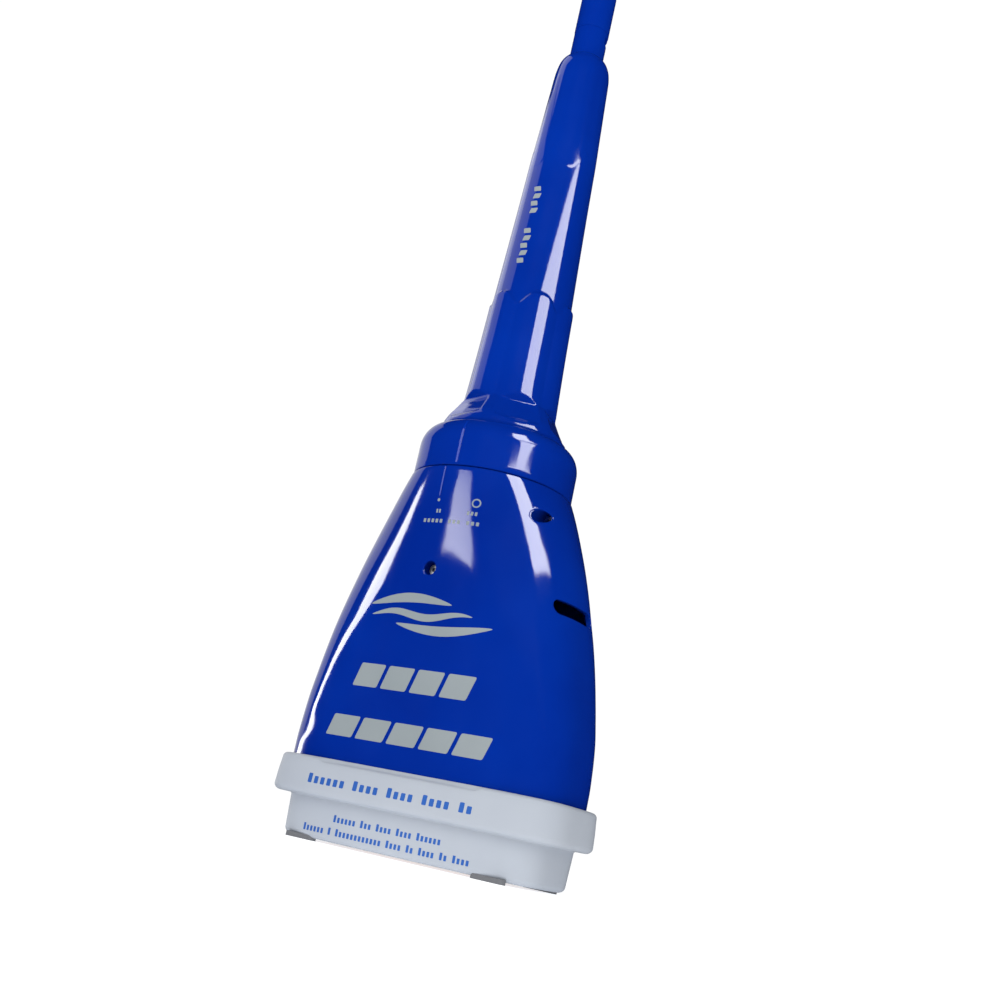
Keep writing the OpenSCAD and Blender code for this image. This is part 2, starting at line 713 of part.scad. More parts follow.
module handle_tube() color(blue) {
    difference() {
        union() {
            skin([for (s = HANDLE) lobed_ring(s)]);
            rod(foot_r, foot_z, flare_z + eps);
        }
        rod(26, foot_z - 1, 216);
        rod(bore_r, 200, bore_top);
        rod(13, 300, 440);
        rod(spigot_r - ease + 0.05, 400, 480);
        difference() {
            rod(foot_r + 1, seal_z - 0.9, seal_z + 0.9);
            rod(foot_r - 1.6, foot_z, flare_z);
        }
        for (a = [45:90:315]) rotate([0, 0, a]) translate([foot_screw_r, 0, foot_z - 1])
            cylinder(r = 1.32, h = 8, $fn = 32);
    }
}
module contact_board() color("darkgreen") {
    difference() {
        rod(25.5, board_z, board_z + board_t);
        for (x = [pin_minus, pin_plus]) translate([x, 0, board_z - 1]) cylinder(r = 1, h = 4, $fn = 24);
    }
}
module contact_rings() color("goldenrod") {
    tube(11, 5, board_z - ring_t, board_z);
    // The outer track is broken so that the circuit opens at the off mark
    rotate([0, 0, -30]) rotate_extrude(angle = 300, $fn = 96)
        translate([18, board_z - ring_t]) square([4, ring_t]);
}
module battery_caddy() color("dimgray") {
    for (z = disc_z) rod(pack_r, z, z + disc_t);
    rod(2.7, pack_z, disc_z[2]);
    for (a = [0:90:270]) rotate([0, 0, a]) translate([15, 0, 0]) rod(2.1, pack_z, disc_z[2]);
    // Pull tab on top
    difference() {
        translate([-7, -1.2, disc_z[2] + disc_t - eps]) cube([14, 2.4, 6]);
        yrod(1.8, 0, disc_z[2] + disc_t + 3.2, -4, 4);
    }
}
module cell() {
    rod(cell_r, 0, cell_l - 1.2);
    rod(2.7, cell_l - 1.2 - eps, cell_l);
}
// Places a child at each cell, upright or upside down by turns
module at_cells() {
    for (l = [0, 1], i = [0:3])
        translate([CELL_AT[i][0], CELL_AT[i][1], disc_z[l] + disc_t + layer_h / 2])
            rotate([(i + l) % 2 * 180, 0, 0]) children();
}
module battery_cells() color("darkslategray") {
    at_cells() translate([0, 0, -cell_l / 2]) cell();
}
module cell_springs() color("silver") {
    at_cells() translate([0, 0, -layer_h / 2]) coil(4.6, 2.6, 0.4, 0, layer_gap - 0.02, 2);
}
module cell_buttons() color("silver") {
    at_cells() difference() {
        rod(3.6, layer_h / 2 - layer_gap + 0.02, layer_h / 2);
        rod(2.6, layer_h / 2 - layer_gap + 0.6, layer_h / 2 + 1);
    }
}
module bus_bars() color("goldenrod") {
    half = cell_r + 3;
    for (s = [-1, 1]) {
        translate([s * cell_x - bus_w / 2, -half, pack_z - bus_t]) cube([bus_w, 2 * half, bus_t]);
        translate([-half, s * cell_x - bus_w / 2, disc_z[2] + disc_t]) cube([2 * half, bus_w, bus_t]);
        // Riser from the board to the pack
        translate([s * cell_x, 0, board_z + board_t])
            cylinder(r = 1.2, h = pack_z - bus_t - board_z - board_t, $fn = 24);
    }
}

// ---- Pole spigot and its clip ----
module pole_spigot() color(blue) {
    difference() {
        union() {
            rod(spigot_r, land_z0, land_z1);
            rod(spigot_r - ease, spigot_foot_z, top_z - 1);
            rod(spigot_r - 1, top_z - 1 - eps, top_z);
            rod(12.9, spigot_foot_z, 439.9);
        }
        rod(spigot_r - spigot_wall, spigot_foot_z - 1, top_z + 1);
        xrod(button_r + 0.75, 0, button_z + 0.4, -20, 20);
        // Pockets for the ends of the clip's pin
        yrod(1.5, 0, pivot_z, -9.2, 9.2);
        // Key notch that stops the pole from turning
        rotate([0, 0, 28]) translate([spigot_r - 1.9, -4.5, notch_z0])
            cube([5, 9, notch_z1 - notch_z0]);
    }
}
// Half of the V clip: a leg from the bend up to the button
module clip_leg(s) {
    rotate([90, 0, 0]) translate([0, 0, -clip_w / 2]) linear_extrude(clip_w) polygon([
        [s * clip_x, clip_z], [s * (clip_x + clip_t), clip_z],
        [s * leg_x, button_z + 3], [s * (leg_x - clip_t), button_z + 3]
    ]);
}
module snap_button(s) {
    // A pin with a domed end; a slot at its foot takes the clip's leg
    difference() {
        translate([0, 0, button_z]) rotate([0, s * 90, 0]) rotate_extrude($fn = 48)
            polygon(concat(
                [[0, 5.9], [button_r, 5.9]],
                [for (t = [0:15:75]) [button_r * cos(t), 11.2 + 1.6 * sin(t)]],
                [[0, 12.8]]));
        clip_leg(s);
    }
}
module clip_bend() color("silver") {
    // The bend of the V clip, held by a pin across the spigot
    translate([0, clip_w / 2, pivot_z]) rotate([90, 0, 0]) linear_extrude(clip_w) difference() {
        union() {
            circle(r = clip_x + clip_t, $fn = 48);
            translate([-clip_x - clip_t, 0]) square([2 * (clip_x + clip_t), 2.4]);
        }
        circle(r = clip_x, $fn = 48);
        translate([-clip_x, 0]) square([2 * clip_x, 10]);
    }
}
module clip_pin() color("silver") yrod(1.5, 0, pivot_z, -9.2, 9.2);
module button_left() color("mediumblue") snap_button(-1);
module button_right() color("mediumblue") snap_button(1);
module leg_left() color("silver") clip_leg(-1);
module leg_right() color("silver") clip_leg(1);

nozzle_cap();
nozzle_seal();
bag_frame();
filter_bag();
flap_pin();
glide_pads();
flap_valve();
body_front();
body_back();
body_screws();
bulkhead();
inlet_grille();
motor_housing();
motor_can();
motor_magnets();
motor_endbell();
motor_terminals();
motor_leads();
motor_screws();
motor_bearings();
shaft_seal();
housing_lid();
lid_seal();
lid_screws();
contact_pins();
neck_oring();
motor_shaft();
motor_core();
impeller();
impeller_nut();
collar_ring();
handle_tube();
flare_seal();
collar_screws();
contact_rings();
contact_board();
battery_caddy();
battery_cells();
cell_springs();
cell_buttons();
bus_bars();
pole_spigot();
clip_bend();
clip_pin();
leg_left();
leg_right();
button_left();
button_right();
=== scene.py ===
"""Looks of the battery pool vacuum head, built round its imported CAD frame.

Shapes are worked out in millimetres in the CAD frame: +Z up the handle, front towards -Y.
"""

import json
import math

import bmesh
import bpy
import numpy as np
from mathutils import Matrix, Vector
from mathutils.geometry import delaunay_2d_cdt

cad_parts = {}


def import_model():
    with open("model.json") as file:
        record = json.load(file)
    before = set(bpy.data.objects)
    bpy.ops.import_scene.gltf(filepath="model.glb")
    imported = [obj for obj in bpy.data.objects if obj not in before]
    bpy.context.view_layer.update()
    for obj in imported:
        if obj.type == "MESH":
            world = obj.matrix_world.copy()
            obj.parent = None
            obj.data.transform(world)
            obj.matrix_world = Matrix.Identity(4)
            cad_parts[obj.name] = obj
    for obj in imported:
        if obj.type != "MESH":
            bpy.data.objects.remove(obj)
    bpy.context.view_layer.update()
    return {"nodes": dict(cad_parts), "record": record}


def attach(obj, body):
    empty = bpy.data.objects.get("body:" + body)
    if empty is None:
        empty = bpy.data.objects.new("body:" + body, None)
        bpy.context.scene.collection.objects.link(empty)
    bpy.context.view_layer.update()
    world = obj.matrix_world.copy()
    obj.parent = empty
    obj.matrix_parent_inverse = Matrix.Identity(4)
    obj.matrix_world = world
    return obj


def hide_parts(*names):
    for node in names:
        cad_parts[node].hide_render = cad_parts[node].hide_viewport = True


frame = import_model()
MM = 0.001


# ---------------------------------------------------------------- sizes, mm
# Stations of the body's outside: height, half width, half depth, squareness, centre in y
BODY = np.array([
    [33, 79.0, 31.0, 3.9, 4.5], [47, 79.0, 31.4, 3.9, 4.5], [58, 78.6, 31.9, 3.8, 4.5],
    [70, 77.6, 33.2, 3.6, 4.4], [82, 75.5, 35.0, 3.4, 4.2], [94, 73.1, 36.9, 3.2, 3.9],
    [106, 70.7, 38.7, 2.95, 3.5], [118, 68.1, 40.1, 2.7, 3.1], [130, 65.0, 41.1, 2.5, 2.6],
    [142, 62.0, 41.8, 2.3, 2.1], [154, 58.4, 42.1, 2.15, 1.6], [165, 54.35, 42.2, 2.07, 1.1],
    [175, 50.2, 42.2, 2.03, 0.65], [183, 46.5, 42.15, 2.01, 0.3], [190, 42.8, 42.1, 2, 0.1],
])
BODY_BOTTOM, BODY_TOP = BODY[0, 0], BODY[-1, 0]
WALL = 2.6
EDGE_R = 0.5
# The shells' seam lies behind the widest line, with a thin gap on the front shell's side
SEAM_Y, SEAM_GAP = 24.0, 0.15
# Side outlets: height of the middle, length and height of the opening
OUTLET_Z, OUTLET_L, OUTLET_H = 129.5, 36.0, 7.0
# Body screws: x, z and the y at which each head sits
FRONT_SCREWS = [(0, 137.5, -33), (44.6, 172.5, -9.5), (-44.6, 172.5, -9.5)]
BACK_SCREWS = [(0, 137.5, 33), (33.2, 172.5, 9.5), (-33.2, 172.5, 9.5)]
# Screw wells: mouth's radius, widening behind the wall, floor under the head, shank's bore
WELL_R, UNDERCUT, SEAT_T, SHANK_R = 3.4, 0.9, 2.2, 1.7
# Boss round a well: thickness, and how far below the outside it begins
BOSS_T, BOSS_DEPTH = 1.5, 1.4

# Nozzle rings: half width, half depth, squareness, centre in y
BAND = (84.0, 35.5, 4.2, 5.2)
LIP = (75.0, 30.5, 4.2, 6.5)
MOUTH_Z, LIP_ROLL, LIP_H, LIP_DRAFT = 1.2, 3.0, 21.0, 0.8
BAND_TOP, BAND_FACE_Z, SOCKET_Z = 40.0, 27.0, 31.0
# Throat below the socket: height, half width, half depth, squareness
THROAT = [(SOCKET_Z, 57, 15, 8), (SOCKET_Z - 0.8, 56, 14, 8), (26, 56, 14, 8), (24, 57, 14.5, 7.5),
          (22, 58, 15, 7), (18, 60, 16.8, 6.5), (12, 62.8, 19.2, 5.8), (6, 65, 21.5, 5),
          (3, 65.6, 22, 5), (MOUTH_Z, 66.4, 22.8, 5)]
# Finger recess in the band's top: half length, height and depth
RECESS_L, RECESS_H, RECESS_D = 47.5, 4.5, 1.5
# Lugs of the flap's hinge: places, thickness, centre in y and z, radius and foot
LUG_XS, LUG_T, LUG_Y, LUG_Z, LUG_R, LUG_FOOT_Z = (-38, 0, 38), 4.0, 24.3, 33.85, 2.6, 30.6

COLLAR_R, COLLAR_Z, COLLAR_EDGE = 42.0, 190.5, 0.7
FLARE_Z, SHOULDER_Z = 218.0, 455.0
# The collar's rounded shoulder: width, height and the height where it begins
ROUND_W, ROUND_H, ROUND_Z = 8, 10.9, FLARE_Z - 11.5
# Inside of the collar, from its top down: radius, height
COLLAR_BORE = [(34.2, FLARE_Z - 0.75), (33.45, FLARE_Z - 1.1), (33.45, 210), (25.6, 210),
               (25.6, 207.4), (38.1, 207.4), (38.1, 204.8), (39.5, 204.8), (39.5, 201.2),
               (38.1, 201.2)]
# The index line stands this far round from the front, past the on mark
INDEX_DEG = 4.5
INDEX_RISE = 0.28

# Handle tables: height, radius at a lobe, radius in a valley. The grips are ribbed, the shaft
# between them is round.
GRIP_LOW = np.array([
    [218, 33.6, 33.6], [221, 33.2, 33.1], [224.5, 31.9, 31.6], [229.5, 28.9, 28.5],
    [234.4, 26.0, 25.7], [235.4, 25.7, 25.0], [241, 25.5, 24.1], [255, 24.9, 23.4],
    [275, 24.1, 22.7], [294, 23.5, 22.1], [302, 23.2, 21.9],
])
GRIP_HIGH = np.array([
    [370, 18.9, 18.9], [386, 18.6, 18.1], [405, 17.7, 17.2], [430, 16.5, 16.0],
    [443, 15.8, 15.4], [448, 14.9, 14.7], [452, 13.2, 13.2], [455, 10.6, 10.6],
])
SHAFT = np.array([[290, 21.9, 21.9], [299.5, 21.5, 21.5], [330, 20.3, 20.3], [360, 19.2, 19.2],
                  [382, 18.5, 18.5], [400, 17.93, 17.93]])
LOBES, LOBE_TURN = 6, 12
# Ends of the ribbed grips: height at a lobe, and how far the end moves in a valley
LOW_GRIP_END, LOW_GRIP_DROP = 298.2, 7.0
HIGH_GRIP_START, HIGH_GRIP_RISE = 375.5, 13.0
# How far the flare is flattened below each lobe, as a share of its radius
PETAL = 0.085
FOOT_Z, FOOT_R = 210.1, 33.3
# Inside of the handle, from its top down: height, radius
HANDLE_BORE = [(SHOULDER_Z, 9.85), (440, 9.85), (440, 13), (364, 13), (364, 17.6), (216, 17.6),
               (216, 26), (FOOT_Z, 26)]

# Camera: the angles the object is turned through, and the collar's foot as seen from the eye in
# collar radii (right, ahead, up)
YAW, TILT, ROLL = -33.287, -15.227, 12.192
COLLAR_FOOT_Z = 189
COLLAR_SEEN_AT = (-0.10933, 15.59319, 0.06221)


# ---------------------------------------------------------------- curves and rings
def hermite(table, z):
    """Columns of a station table at heights z, on a curve that never overshoots its stations."""
    zs = table[:, 0]
    z = np.clip(np.atleast_1d(np.asarray(z, float)), zs[0], zs[-1])
    h = np.diff(zs)
    slope = np.diff(table[:, 1:], axis=0) / h[:, None]
    tangent = np.zeros_like(table[:, 1:])
    tangent[0], tangent[-1] = slope[0], slope[-1]
    for k in range(1, len(zs) - 1):
        a, b = slope[k - 1], slope[k]
        w1, w2 = 2 * h[k] + h[k - 1], h[k] + 2 * h[k - 1]
        same = a * b > 0
        tangent[k] = np.where(same, (w1 + w2) / (w1 / np.where(same, a, 1)
                                                 + w2 / np.where(same, b, 1)), 0)
    i = np.clip(np.searchsorted(zs, z, side="right") - 1, 0, len(zs) - 2)
    t = ((z - zs[i]) / h[i])[:, None]
    hi = h[i][:, None]
    return ((2 * t**3 - 3 * t**2 + 1) * table[i, 1:] + (t**3 - 2 * t**2 + t) * hi * tangent[i]
            + (-2 * t**3 + 3 * t**2) * table[i + 1, 1:] + (t**3 - t**2) * hi * tangent[i + 1])


def squircle(a, b, n, cy, t):
    """Points x, y of a rounded-rectangle ring at angles t, in radians."""
    c, s = np.cos(t), np.sin(t)
    k = (np.abs(c) ** n + np.abs(s) ** n) ** (-1 / n)
    return a * k * c, cy + b * k * s


def turns(count):
    """Angles of a ring's points."""
    return 2 * np.pi * (np.arange(count) + 0.5) / count


def ring(z, a, b, n, cy, count):
    x, y = squircle(a, b, n, cy, turns(count))
    return np.stack([x, y, np.full(count, float(z))], 1)


def circle(z, r, count):
    t = turns(count)
    return np.stack([r * np.cos(t), r * np.sin(t), np.full(count, float(z))], 1)


def arc(cx, cz, rx, rz, start, end, steps):
    """Points (x, z) of an elliptic arc in a profile, degrees."""
    t = np.radians(np.linspace(start, end, steps + 1))
    return [(cx + rx * math.cos(v), cz + rz * math.sin(v)) for v in t]


def step_up(x):
    """Smooth step from 0 to 1 over x from 0 to 1."""
    x = np.clip(x, 0, 1)
    return x * x * (3 - 2 * x)


# ---------------------------------------------------------------- meshes
def new_object(name, verts, faces):
    """A mesh object from millimetre points, its faces turned outwards."""
    mesh = bpy.data.meshes.new(name)
    mesh.from_pydata([tuple(v) for v in np.asarray(verts, float) * MM], [], faces)
    bm = bmesh.new()
    bm.from_mesh(mesh)
    bmesh.ops.remove_doubles(bm, verts=bm.verts, dist=1e-7)
    bmesh.ops.recalc_face_normals(bm, faces=bm.faces)
    bm.to_mesh(mesh)
    bm.free()
    mesh.validate()
    obj = bpy.data.objects.new(name, mesh)
    bpy.context.scene.collection.objects.link(obj)
    return obj


class Build:
    """Collects points and faces of one mesh."""

    def __init__(self):
        self.verts, self.faces = [], []

    def add(self, points):
        """Adds points and returns their numbers."""
        first = len(self.verts)
        self.verts += [tuple(p) for p in points]
        return list(range(first, len(self.verts)))

    def bridge(self, low, high):
        """Quads between two closed loops of point numbers."""
        for i in range(len(low)):
            k = (i + 1) % len(low)
            self.faces.append((low[i], low[k], high[k], high[i]))

    def rings(self, rings, closed=True):
        """Skin through rings of equal counts; closed joins the last ring to the first."""
        ids = [self.add(r) for r in rings]
        for low, high in zip(ids, ids[1:]):
            self.bridge(low, high)
        if closed:
            self.bridge(ids[-1], ids[0])
        else:
            self.faces += [tuple(ids[0]), tuple(ids[-1])]

    def fan(self, loop, centre):
        """Close a loop with triangles to a centre."""
        mid = self.add([centre])[0]
        self.faces += [(loop[i], loop[(i + 1) % len(loop)], mid) for i in range(len(loop))]

    def make(self, name):
        return new_object(name, self.verts, self.faces)


def dress(obj, body, slot, material=None, replaces=(), angle=35):
    """Smooth shading with creases at edges sharper than angle, a material named by material or else
    by slot, and a body.
    """
    obj.data.polygons.foreach_set("use_smooth", [True] * len(obj.data.polygons))
    obj.data.set_sharp_from_angle(angle=math.radians(angle))
    obj.data.materials.clear()
    obj.data.materials.append(M[material or slot])
    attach(obj, body)
    if replaces:
        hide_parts(*replaces)
    return obj


def inside(points, loop):
    """Which of the flat points lie inside a loop."""
    points, loop = np.asarray(points), np.asarray(loop)
    x, y = points[:, 0][:, None], points[:, 1][:, None]
    x0, y0 = loop[:, 0], loop[:, 1]
    x1, y1 = np.roll(x0, -1), np.roll(y0, -1)
    cross = (y0 > y) != (y1 > y)
    at = (x1 - x0) * (y - y0) / np.where(y1 == y0, 1e-12, y1 - y0) + x0
    return (cross & (x < at)).sum(1) % 2 == 1


def mesh_patch(outline, holes, step):
    """Points and triangles of a flat region with holes, meshed at about that step. The loops come
    first in the points, in order."""
    loops = [np.asarray(outline)] + [np.asarray(h) for h in holes]
    edges, first = [], 0
    for loop in loops:
        edges += [(first + i, first + (i + 1) % len(loop)) for i in range(len(loop))]
        first += len(loop)
    low, high = loops[0].min(0), loops[0].max(0)
    nx, ny = (max(2, int(v / step)) for v in high - low)
    grid = np.stack(np.meshgrid(np.linspace(low[0], high[0], nx + 1)[1:-1],
                                np.linspace(low[1], high[1], ny + 1)[1:-1]), -1).reshape(-1, 2)
    if len(grid):
        # Grid points inside the region and clear of its edges
        keep = inside(grid, loops[0])
        for loop in loops[1:]:
            keep &= ~inside(grid, loop)
        for loop in loops:
            gap = np.full(len(grid), np.inf)
            for p, q in zip(loop, np.roll(loop, -1, 0)):
                d = q - p
                t = np.clip(((grid - p) @ d) / max(d @ d, 1e-12), 0, 1)
                gap = np.minimum(gap, np.linalg.norm(grid - p - t[:, None] * d, axis=1))
            keep &= gap > 0.45 * step
        grid = grid[keep]
    pts = np.concatenate(loops + [grid])
    out, _, faces, *_ = delaunay_2d_cdt([Vector(p) for p in pts], edges, [], 0, 1e-7, True)
    flat = np.array([(p.x, p.y) for p in out])
    tris = np.array([f for f in faces if len(f) == 3])
    middle = flat[tris].mean(1)
    keep = inside(middle, loops[0])
    for loop in loops[1:]:
        keep &= ~inside(middle, loop)
    if len(flat) != len(pts):
        raise RuntimeError("a patch's loops touch each other")
    return pts, [tuple(int(i) for i in t) for t in tris[keep]]


# ---------------------------------------------------------------- camera
turn = (Matrix.Rotation(math.radians(ROLL), 3, "Y") @ Matrix.Rotation(math.radians(TILT), 3, "X")
        @ Matrix.Rotation(math.radians(YAW), 3, "Z"))
right, ahead, up = (Vector(row) for row in turn)
EYE = MM * (Vector((0, 0, COLLAR_FOOT_Z))
            - COLLAR_R * (turn.transposed() @ Vector(COLLAR_SEEN_AT)))
camera_data = bpy.data.cameras.new("camera")
camera_data.lens = 45
camera_data.sensor_width = 36
camera_data.clip_start, camera_data.clip_end = 0.01, 100
camera = bpy.data.objects.new("camera", camera_data)
bpy.context.scene.collection.objects.link(camera)
camera.matrix_world = Matrix((
    (right.x, up.x, -ahead.x, EYE.x), (right.y, up.y, -ahead.y, EYE.y),
    (right.z, up.z, -ahead.z, EYE.z), (0, 0, 0, 1)))
bpy.context.scene.camera = camera


# ---------------------------------------------------------------- materials
def material(name):
    """A new node material, with its nodes, links and shader."""
    mat = bpy.data.materials.new(name)
    mat.use_nodes = True
    nodes, links = mat.node_tree.nodes, mat.node_tree.links
    return mat, nodes, links, nodes["Principled BSDF"]


def noise(nodes, links, scale, detail=3.0, rough=0.5, stretch=None):
    """A noise texture in object space, at features per metre."""
    coord = nodes.new("ShaderNodeTexCoord")
    tex = nodes.new("ShaderNodeTexNoise")
    tex.inputs["Scale"].default_value = scale
    tex.inputs["Detail"].default_value = detail
    tex.inputs["Roughness"].default_value = rough
    source = coord.outputs["Object"]
    if stretch:
        mapping = nodes.new("ShaderNodeMapping")
        mapping.inputs["Scale"].default_value = stretch
        links.new(source, mapping.inputs["Vector"])
        source = mapping.outputs["Vector"]
    links.new(source, tex.inputs["Vector"])
    return tex.outputs["Fac"]


def ramp(nodes, links, fac, stops):
    """A colour or grey ramp: stops of (position, colour or grey)."""
    node = nodes.new("ShaderNodeValToRGB")
    links.new(fac, node.inputs["Fac"])
    for element, (position, colour) in zip(node.color_ramp.elements, stops):
        element.position = position
        element.color = (*colour, 1) if isinstance(colour, tuple) else (colour, colour, colour, 1)
    return node.outputs["Color"]


def bump(nodes, links, bsdf, fac, strength, distance):
    """Relief of that depth in metres from a grey texture."""
    node = nodes.new("ShaderNodeBump")
    node.inputs["Strength"].default_value = strength
    node.inputs["Distance"].default_value = distance
    links.new(fac, node.inputs["Height"])
    links.new(node.outputs["Normal"], bsdf.inputs["Normal"])


def plastic(name, dark, light, rough, grain, grain_depth, specular=0.5):
    """Moulded plastic: slow colour drift, handling marks in the gloss and a fine skin."""
    mat, nodes, links, bsdf = material(name)
    drift = noise(nodes, links, 9, 4)
    links.new(ramp(nodes, links, drift, [(0.35, dark), (0.65, light)]), bsdf.inputs["Base Color"])
    wear = noise(nodes, links, 60, 6, 0.7, (1, 1, 0.35))
    links.new(ramp(nodes, links, wear, [(0.4, rough[0]), (0.75, rough[1])]),
              bsdf.inputs["Roughness"])
    bump(nodes, links, bsdf, noise(nodes, links, grain, 2), 0.35, grain_depth)
    bsdf.inputs["Specular IOR Level"].default_value = specular
    return mat


def metal(name, dark, light, rough=(0.2, 0.38), stretch=(1, 1, 12)):
    """Bare metal with drawn or turned brushing."""
    mat, nodes, links, bsdf = material(name)
    brush = noise(nodes, links, 700, 4, 0.6, stretch)
    links.new(ramp(nodes, links, brush, [(0.3, dark), (0.7, light)]), bsdf.inputs["Base Color"])
    links.new(ramp(nodes, links, brush, [(0.3, rough[0]), (0.7, rough[1])]),
              bsdf.inputs["Roughness"])
    bump(nodes, links, bsdf, brush, 0.25, 0.00001)
    bsdf.inputs["Metallic"].default_value = 1.0
    return mat


def cloth(name, colour, thread):
    """Plain woven mesh: crossing threads of that pitch in metres, from two sine bands."""
    mat, nodes, links, bsdf = material(name)
    coord = nodes.new("ShaderNodeTexCoord")
    join = nodes.new("ShaderNodeMath")
    join.operation = "MAXIMUM"
    for i, direction in enumerate(("X", "Z")):
        wave = nodes.new("ShaderNodeTexWave")
        wave.wave_type = "BANDS"
        wave.bands_direction = direction
        wave.inputs["Scale"].default_value = 0.314 / thread
        wave.inputs["Distortion"].default_value = 0.4
        links.new(coord.outputs["Object"], wave.inputs["Vector"])
        links.new(wave.outputs["Fac"], join.inputs[i])
    shade = tuple(0.55 * c for c in colour)
    links.new(ramp(nodes, links, join.outputs[0], [(0.2, shade), (0.9, colour)]),
              bsdf.inputs["Base Color"])
    bump(nodes, links, bsdf, join.outputs[0], 0.8, 0.0002)
    bsdf.inputs["Roughness"].default_value = 0.9
    bsdf.inputs["Sheen Weight"].default_value = 0.3
    return mat


# Dark and light tone, least and most roughness, grains per metre, grain depth, specular level
PLASTICS = {
    "blue_plastic": ((0.0004, 0.019, 0.26), (0.0006, 0.029, 0.34), (0.05, 0.11), 1400, 0.000008),
    "white_plastic": ((0.44, 0.48, 0.55), (0.50, 0.54, 0.60), (0.34, 0.46), 2200, 0.00004, 0.45),
    "rubber": ((0.012, 0.012, 0.013), (0.03, 0.03, 0.032), (0.6, 0.8), 1800, 0.00006, 0.3),
    "worn_rubber": ((0.15, 0.155, 0.17), (0.20, 0.205, 0.22), (0.6, 0.8), 1800, 0.00006, 0.3),
    "dark_plastic": ((0.015, 0.016, 0.02), (0.03, 0.032, 0.038), (0.35, 0.5), 1500, 0.00005),
    "grey_plastic": ((0.05, 0.07, 0.13), (0.08, 0.10, 0.17), (0.3, 0.45), 1500, 0.00005),
    "orange_plastic": ((0.62, 0.16, 0.02), (0.74, 0.22, 0.03), (0.3, 0.45), 1500, 0.00005),
    "ivory_plastic": ((0.62, 0.58, 0.45), (0.70, 0.67, 0.54), (0.35, 0.5), 1500, 0.00005),
    "board": ((0.01, 0.09, 0.035), (0.02, 0.13, 0.05), (0.25, 0.35), 1200, 0.00003),
    "ferrite": ((0.02, 0.02, 0.022), (0.05, 0.05, 0.055), (0.55, 0.7), 2500, 0.00008, 0.4),
    "cell_sleeve": ((0.02, 0.022, 0.03), (0.035, 0.04, 0.05), (0.15, 0.25), 500, 0.00003),
    "lead_red": ((0.35, 0.012, 0.01), (0.5, 0.02, 0.015), (0.35, 0.5), 800, 0.00004),
    "print_grey": ((0.27, 0.31, 0.33), (0.34, 0.38, 0.40), (0.3, 0.42), 2600, 0.00002, 0.4),
    "print_blue": ((0.02, 0.10, 0.42), (0.03, 0.14, 0.52), (0.4, 0.55), 2600, 0.00002, 0.4),
}
# Dark and light tone, least and most roughness, stretch of the brushing
METALS = {
    "steel": ((0.42, 0.42, 0.43), (0.66, 0.66, 0.67)),
    "bronze": ((0.34, 0.19, 0.09), (0.52, 0.31, 0.15), (0.35, 0.5), (1, 1, 1)),
    "copper": ((0.55, 0.24, 0.13), (0.78, 0.40, 0.24)),
    "gilt": ((0.66, 0.46, 0.16), (0.86, 0.65, 0.28), (0.15, 0.3)),
}
M = {name: plastic(name, *look) for name, look in PLASTICS.items()}
M.update({name: metal(name, *look) for name, look in METALS.items()})
M["bag_cloth"] = cloth("bag_cloth", (0.78, 0.80, 0.83), 0.0007)

for part in frame["record"]["subparts"]:
    node = frame["nodes"][part["node"]]
    node.data.materials.clear()
    node.data.materials.append(M[part["material_slot"]])
# The pads' rubber has greyed with use
frame["nodes"]["glide_pads"].data.materials[0] = M["worn_rubber"]


# ---------------------------------------------------------------- body shells
# Each shell is unrolled to flat (s, z): s is 0 in the middle of the half and S_MAX at the seam
S_MAX = 115.0


def angle_at_y(y, z):
    """Angle of the body's right-hand outside point with that y, at heights z."""
    a, b, n, cy = hermite(BODY, z).T
    v = np.clip((y - cy) / b, -1, 1)
    return np.arctan2(v, (1 - np.abs(v) ** n) ** (1 / n))


def angle_at_x(x, z, front):
    """Angle of the body's front or back outside point with that x, at heights z."""
    a, b, n, cy = hermite(BODY, z).T
    v = np.clip(x / a, -1, 1)
    side = -1 if front else 1
    return np.arctan2(side * (1 - np.abs(v) ** n) ** (1 / n), v)


def seam_angle(z, front):
    """Angle of that shell's edge at the seam, on the right."""
    return angle_at_y(SEAM_Y - SEAM_GAP if front else SEAM_Y, z)


def to_flat(t, z, front):
    """(s, z) of the outside point at angle t."""
    span = seam_angle(z, front)
    if front:
        turned = np.where(t < -math.pi / 2 - 1e-9, t + 2 * math.pi, t) + math.pi / 2
        turned = np.where(turned > math.pi, turned - 2 * math.pi, turned)
        return np.stack([S_MAX * turned / (math.pi / 2 + span), np.asarray(z, float)], 1)
    return np.stack([S_MAX * (math.pi / 2 - t) / (math.pi / 2 - span), np.asarray(z, float)], 1)


def lift(flat, front, depth=0.0):
    """Body points at flat (s, z), sunk below the outside by depth."""
    flat = np.atleast_2d(np.asarray(flat, float))
    s, z = flat[:, 0] / S_MAX, flat[:, 1]
    a, b, n, cy = hermite(BODY, z).T
    span = seam_angle(z, front)
    if front:
        t = -math.pi / 2 + s * (math.pi / 2 + span)
    else:
        t = math.pi / 2 - s * (math.pi / 2 - span)
    x, y = squircle(a - depth, b - depth, n, cy, t)
    seam = np.abs(s) > 0.9999
    y = np.where(seam, SEAM_Y - SEAM_GAP if front else SEAM_Y, y)
    return np.stack([x, y, z], 1)


def well_loop(x, z, r, front, count=48):
    """Flat outline of a circle round a screw, as seen from the front or the back."""
    t = turns(count)
    px, pz = x + r * np.cos(t), z + r * np.sin(t)
    return to_flat(angle_at_x(px, pz, front), pz, front)


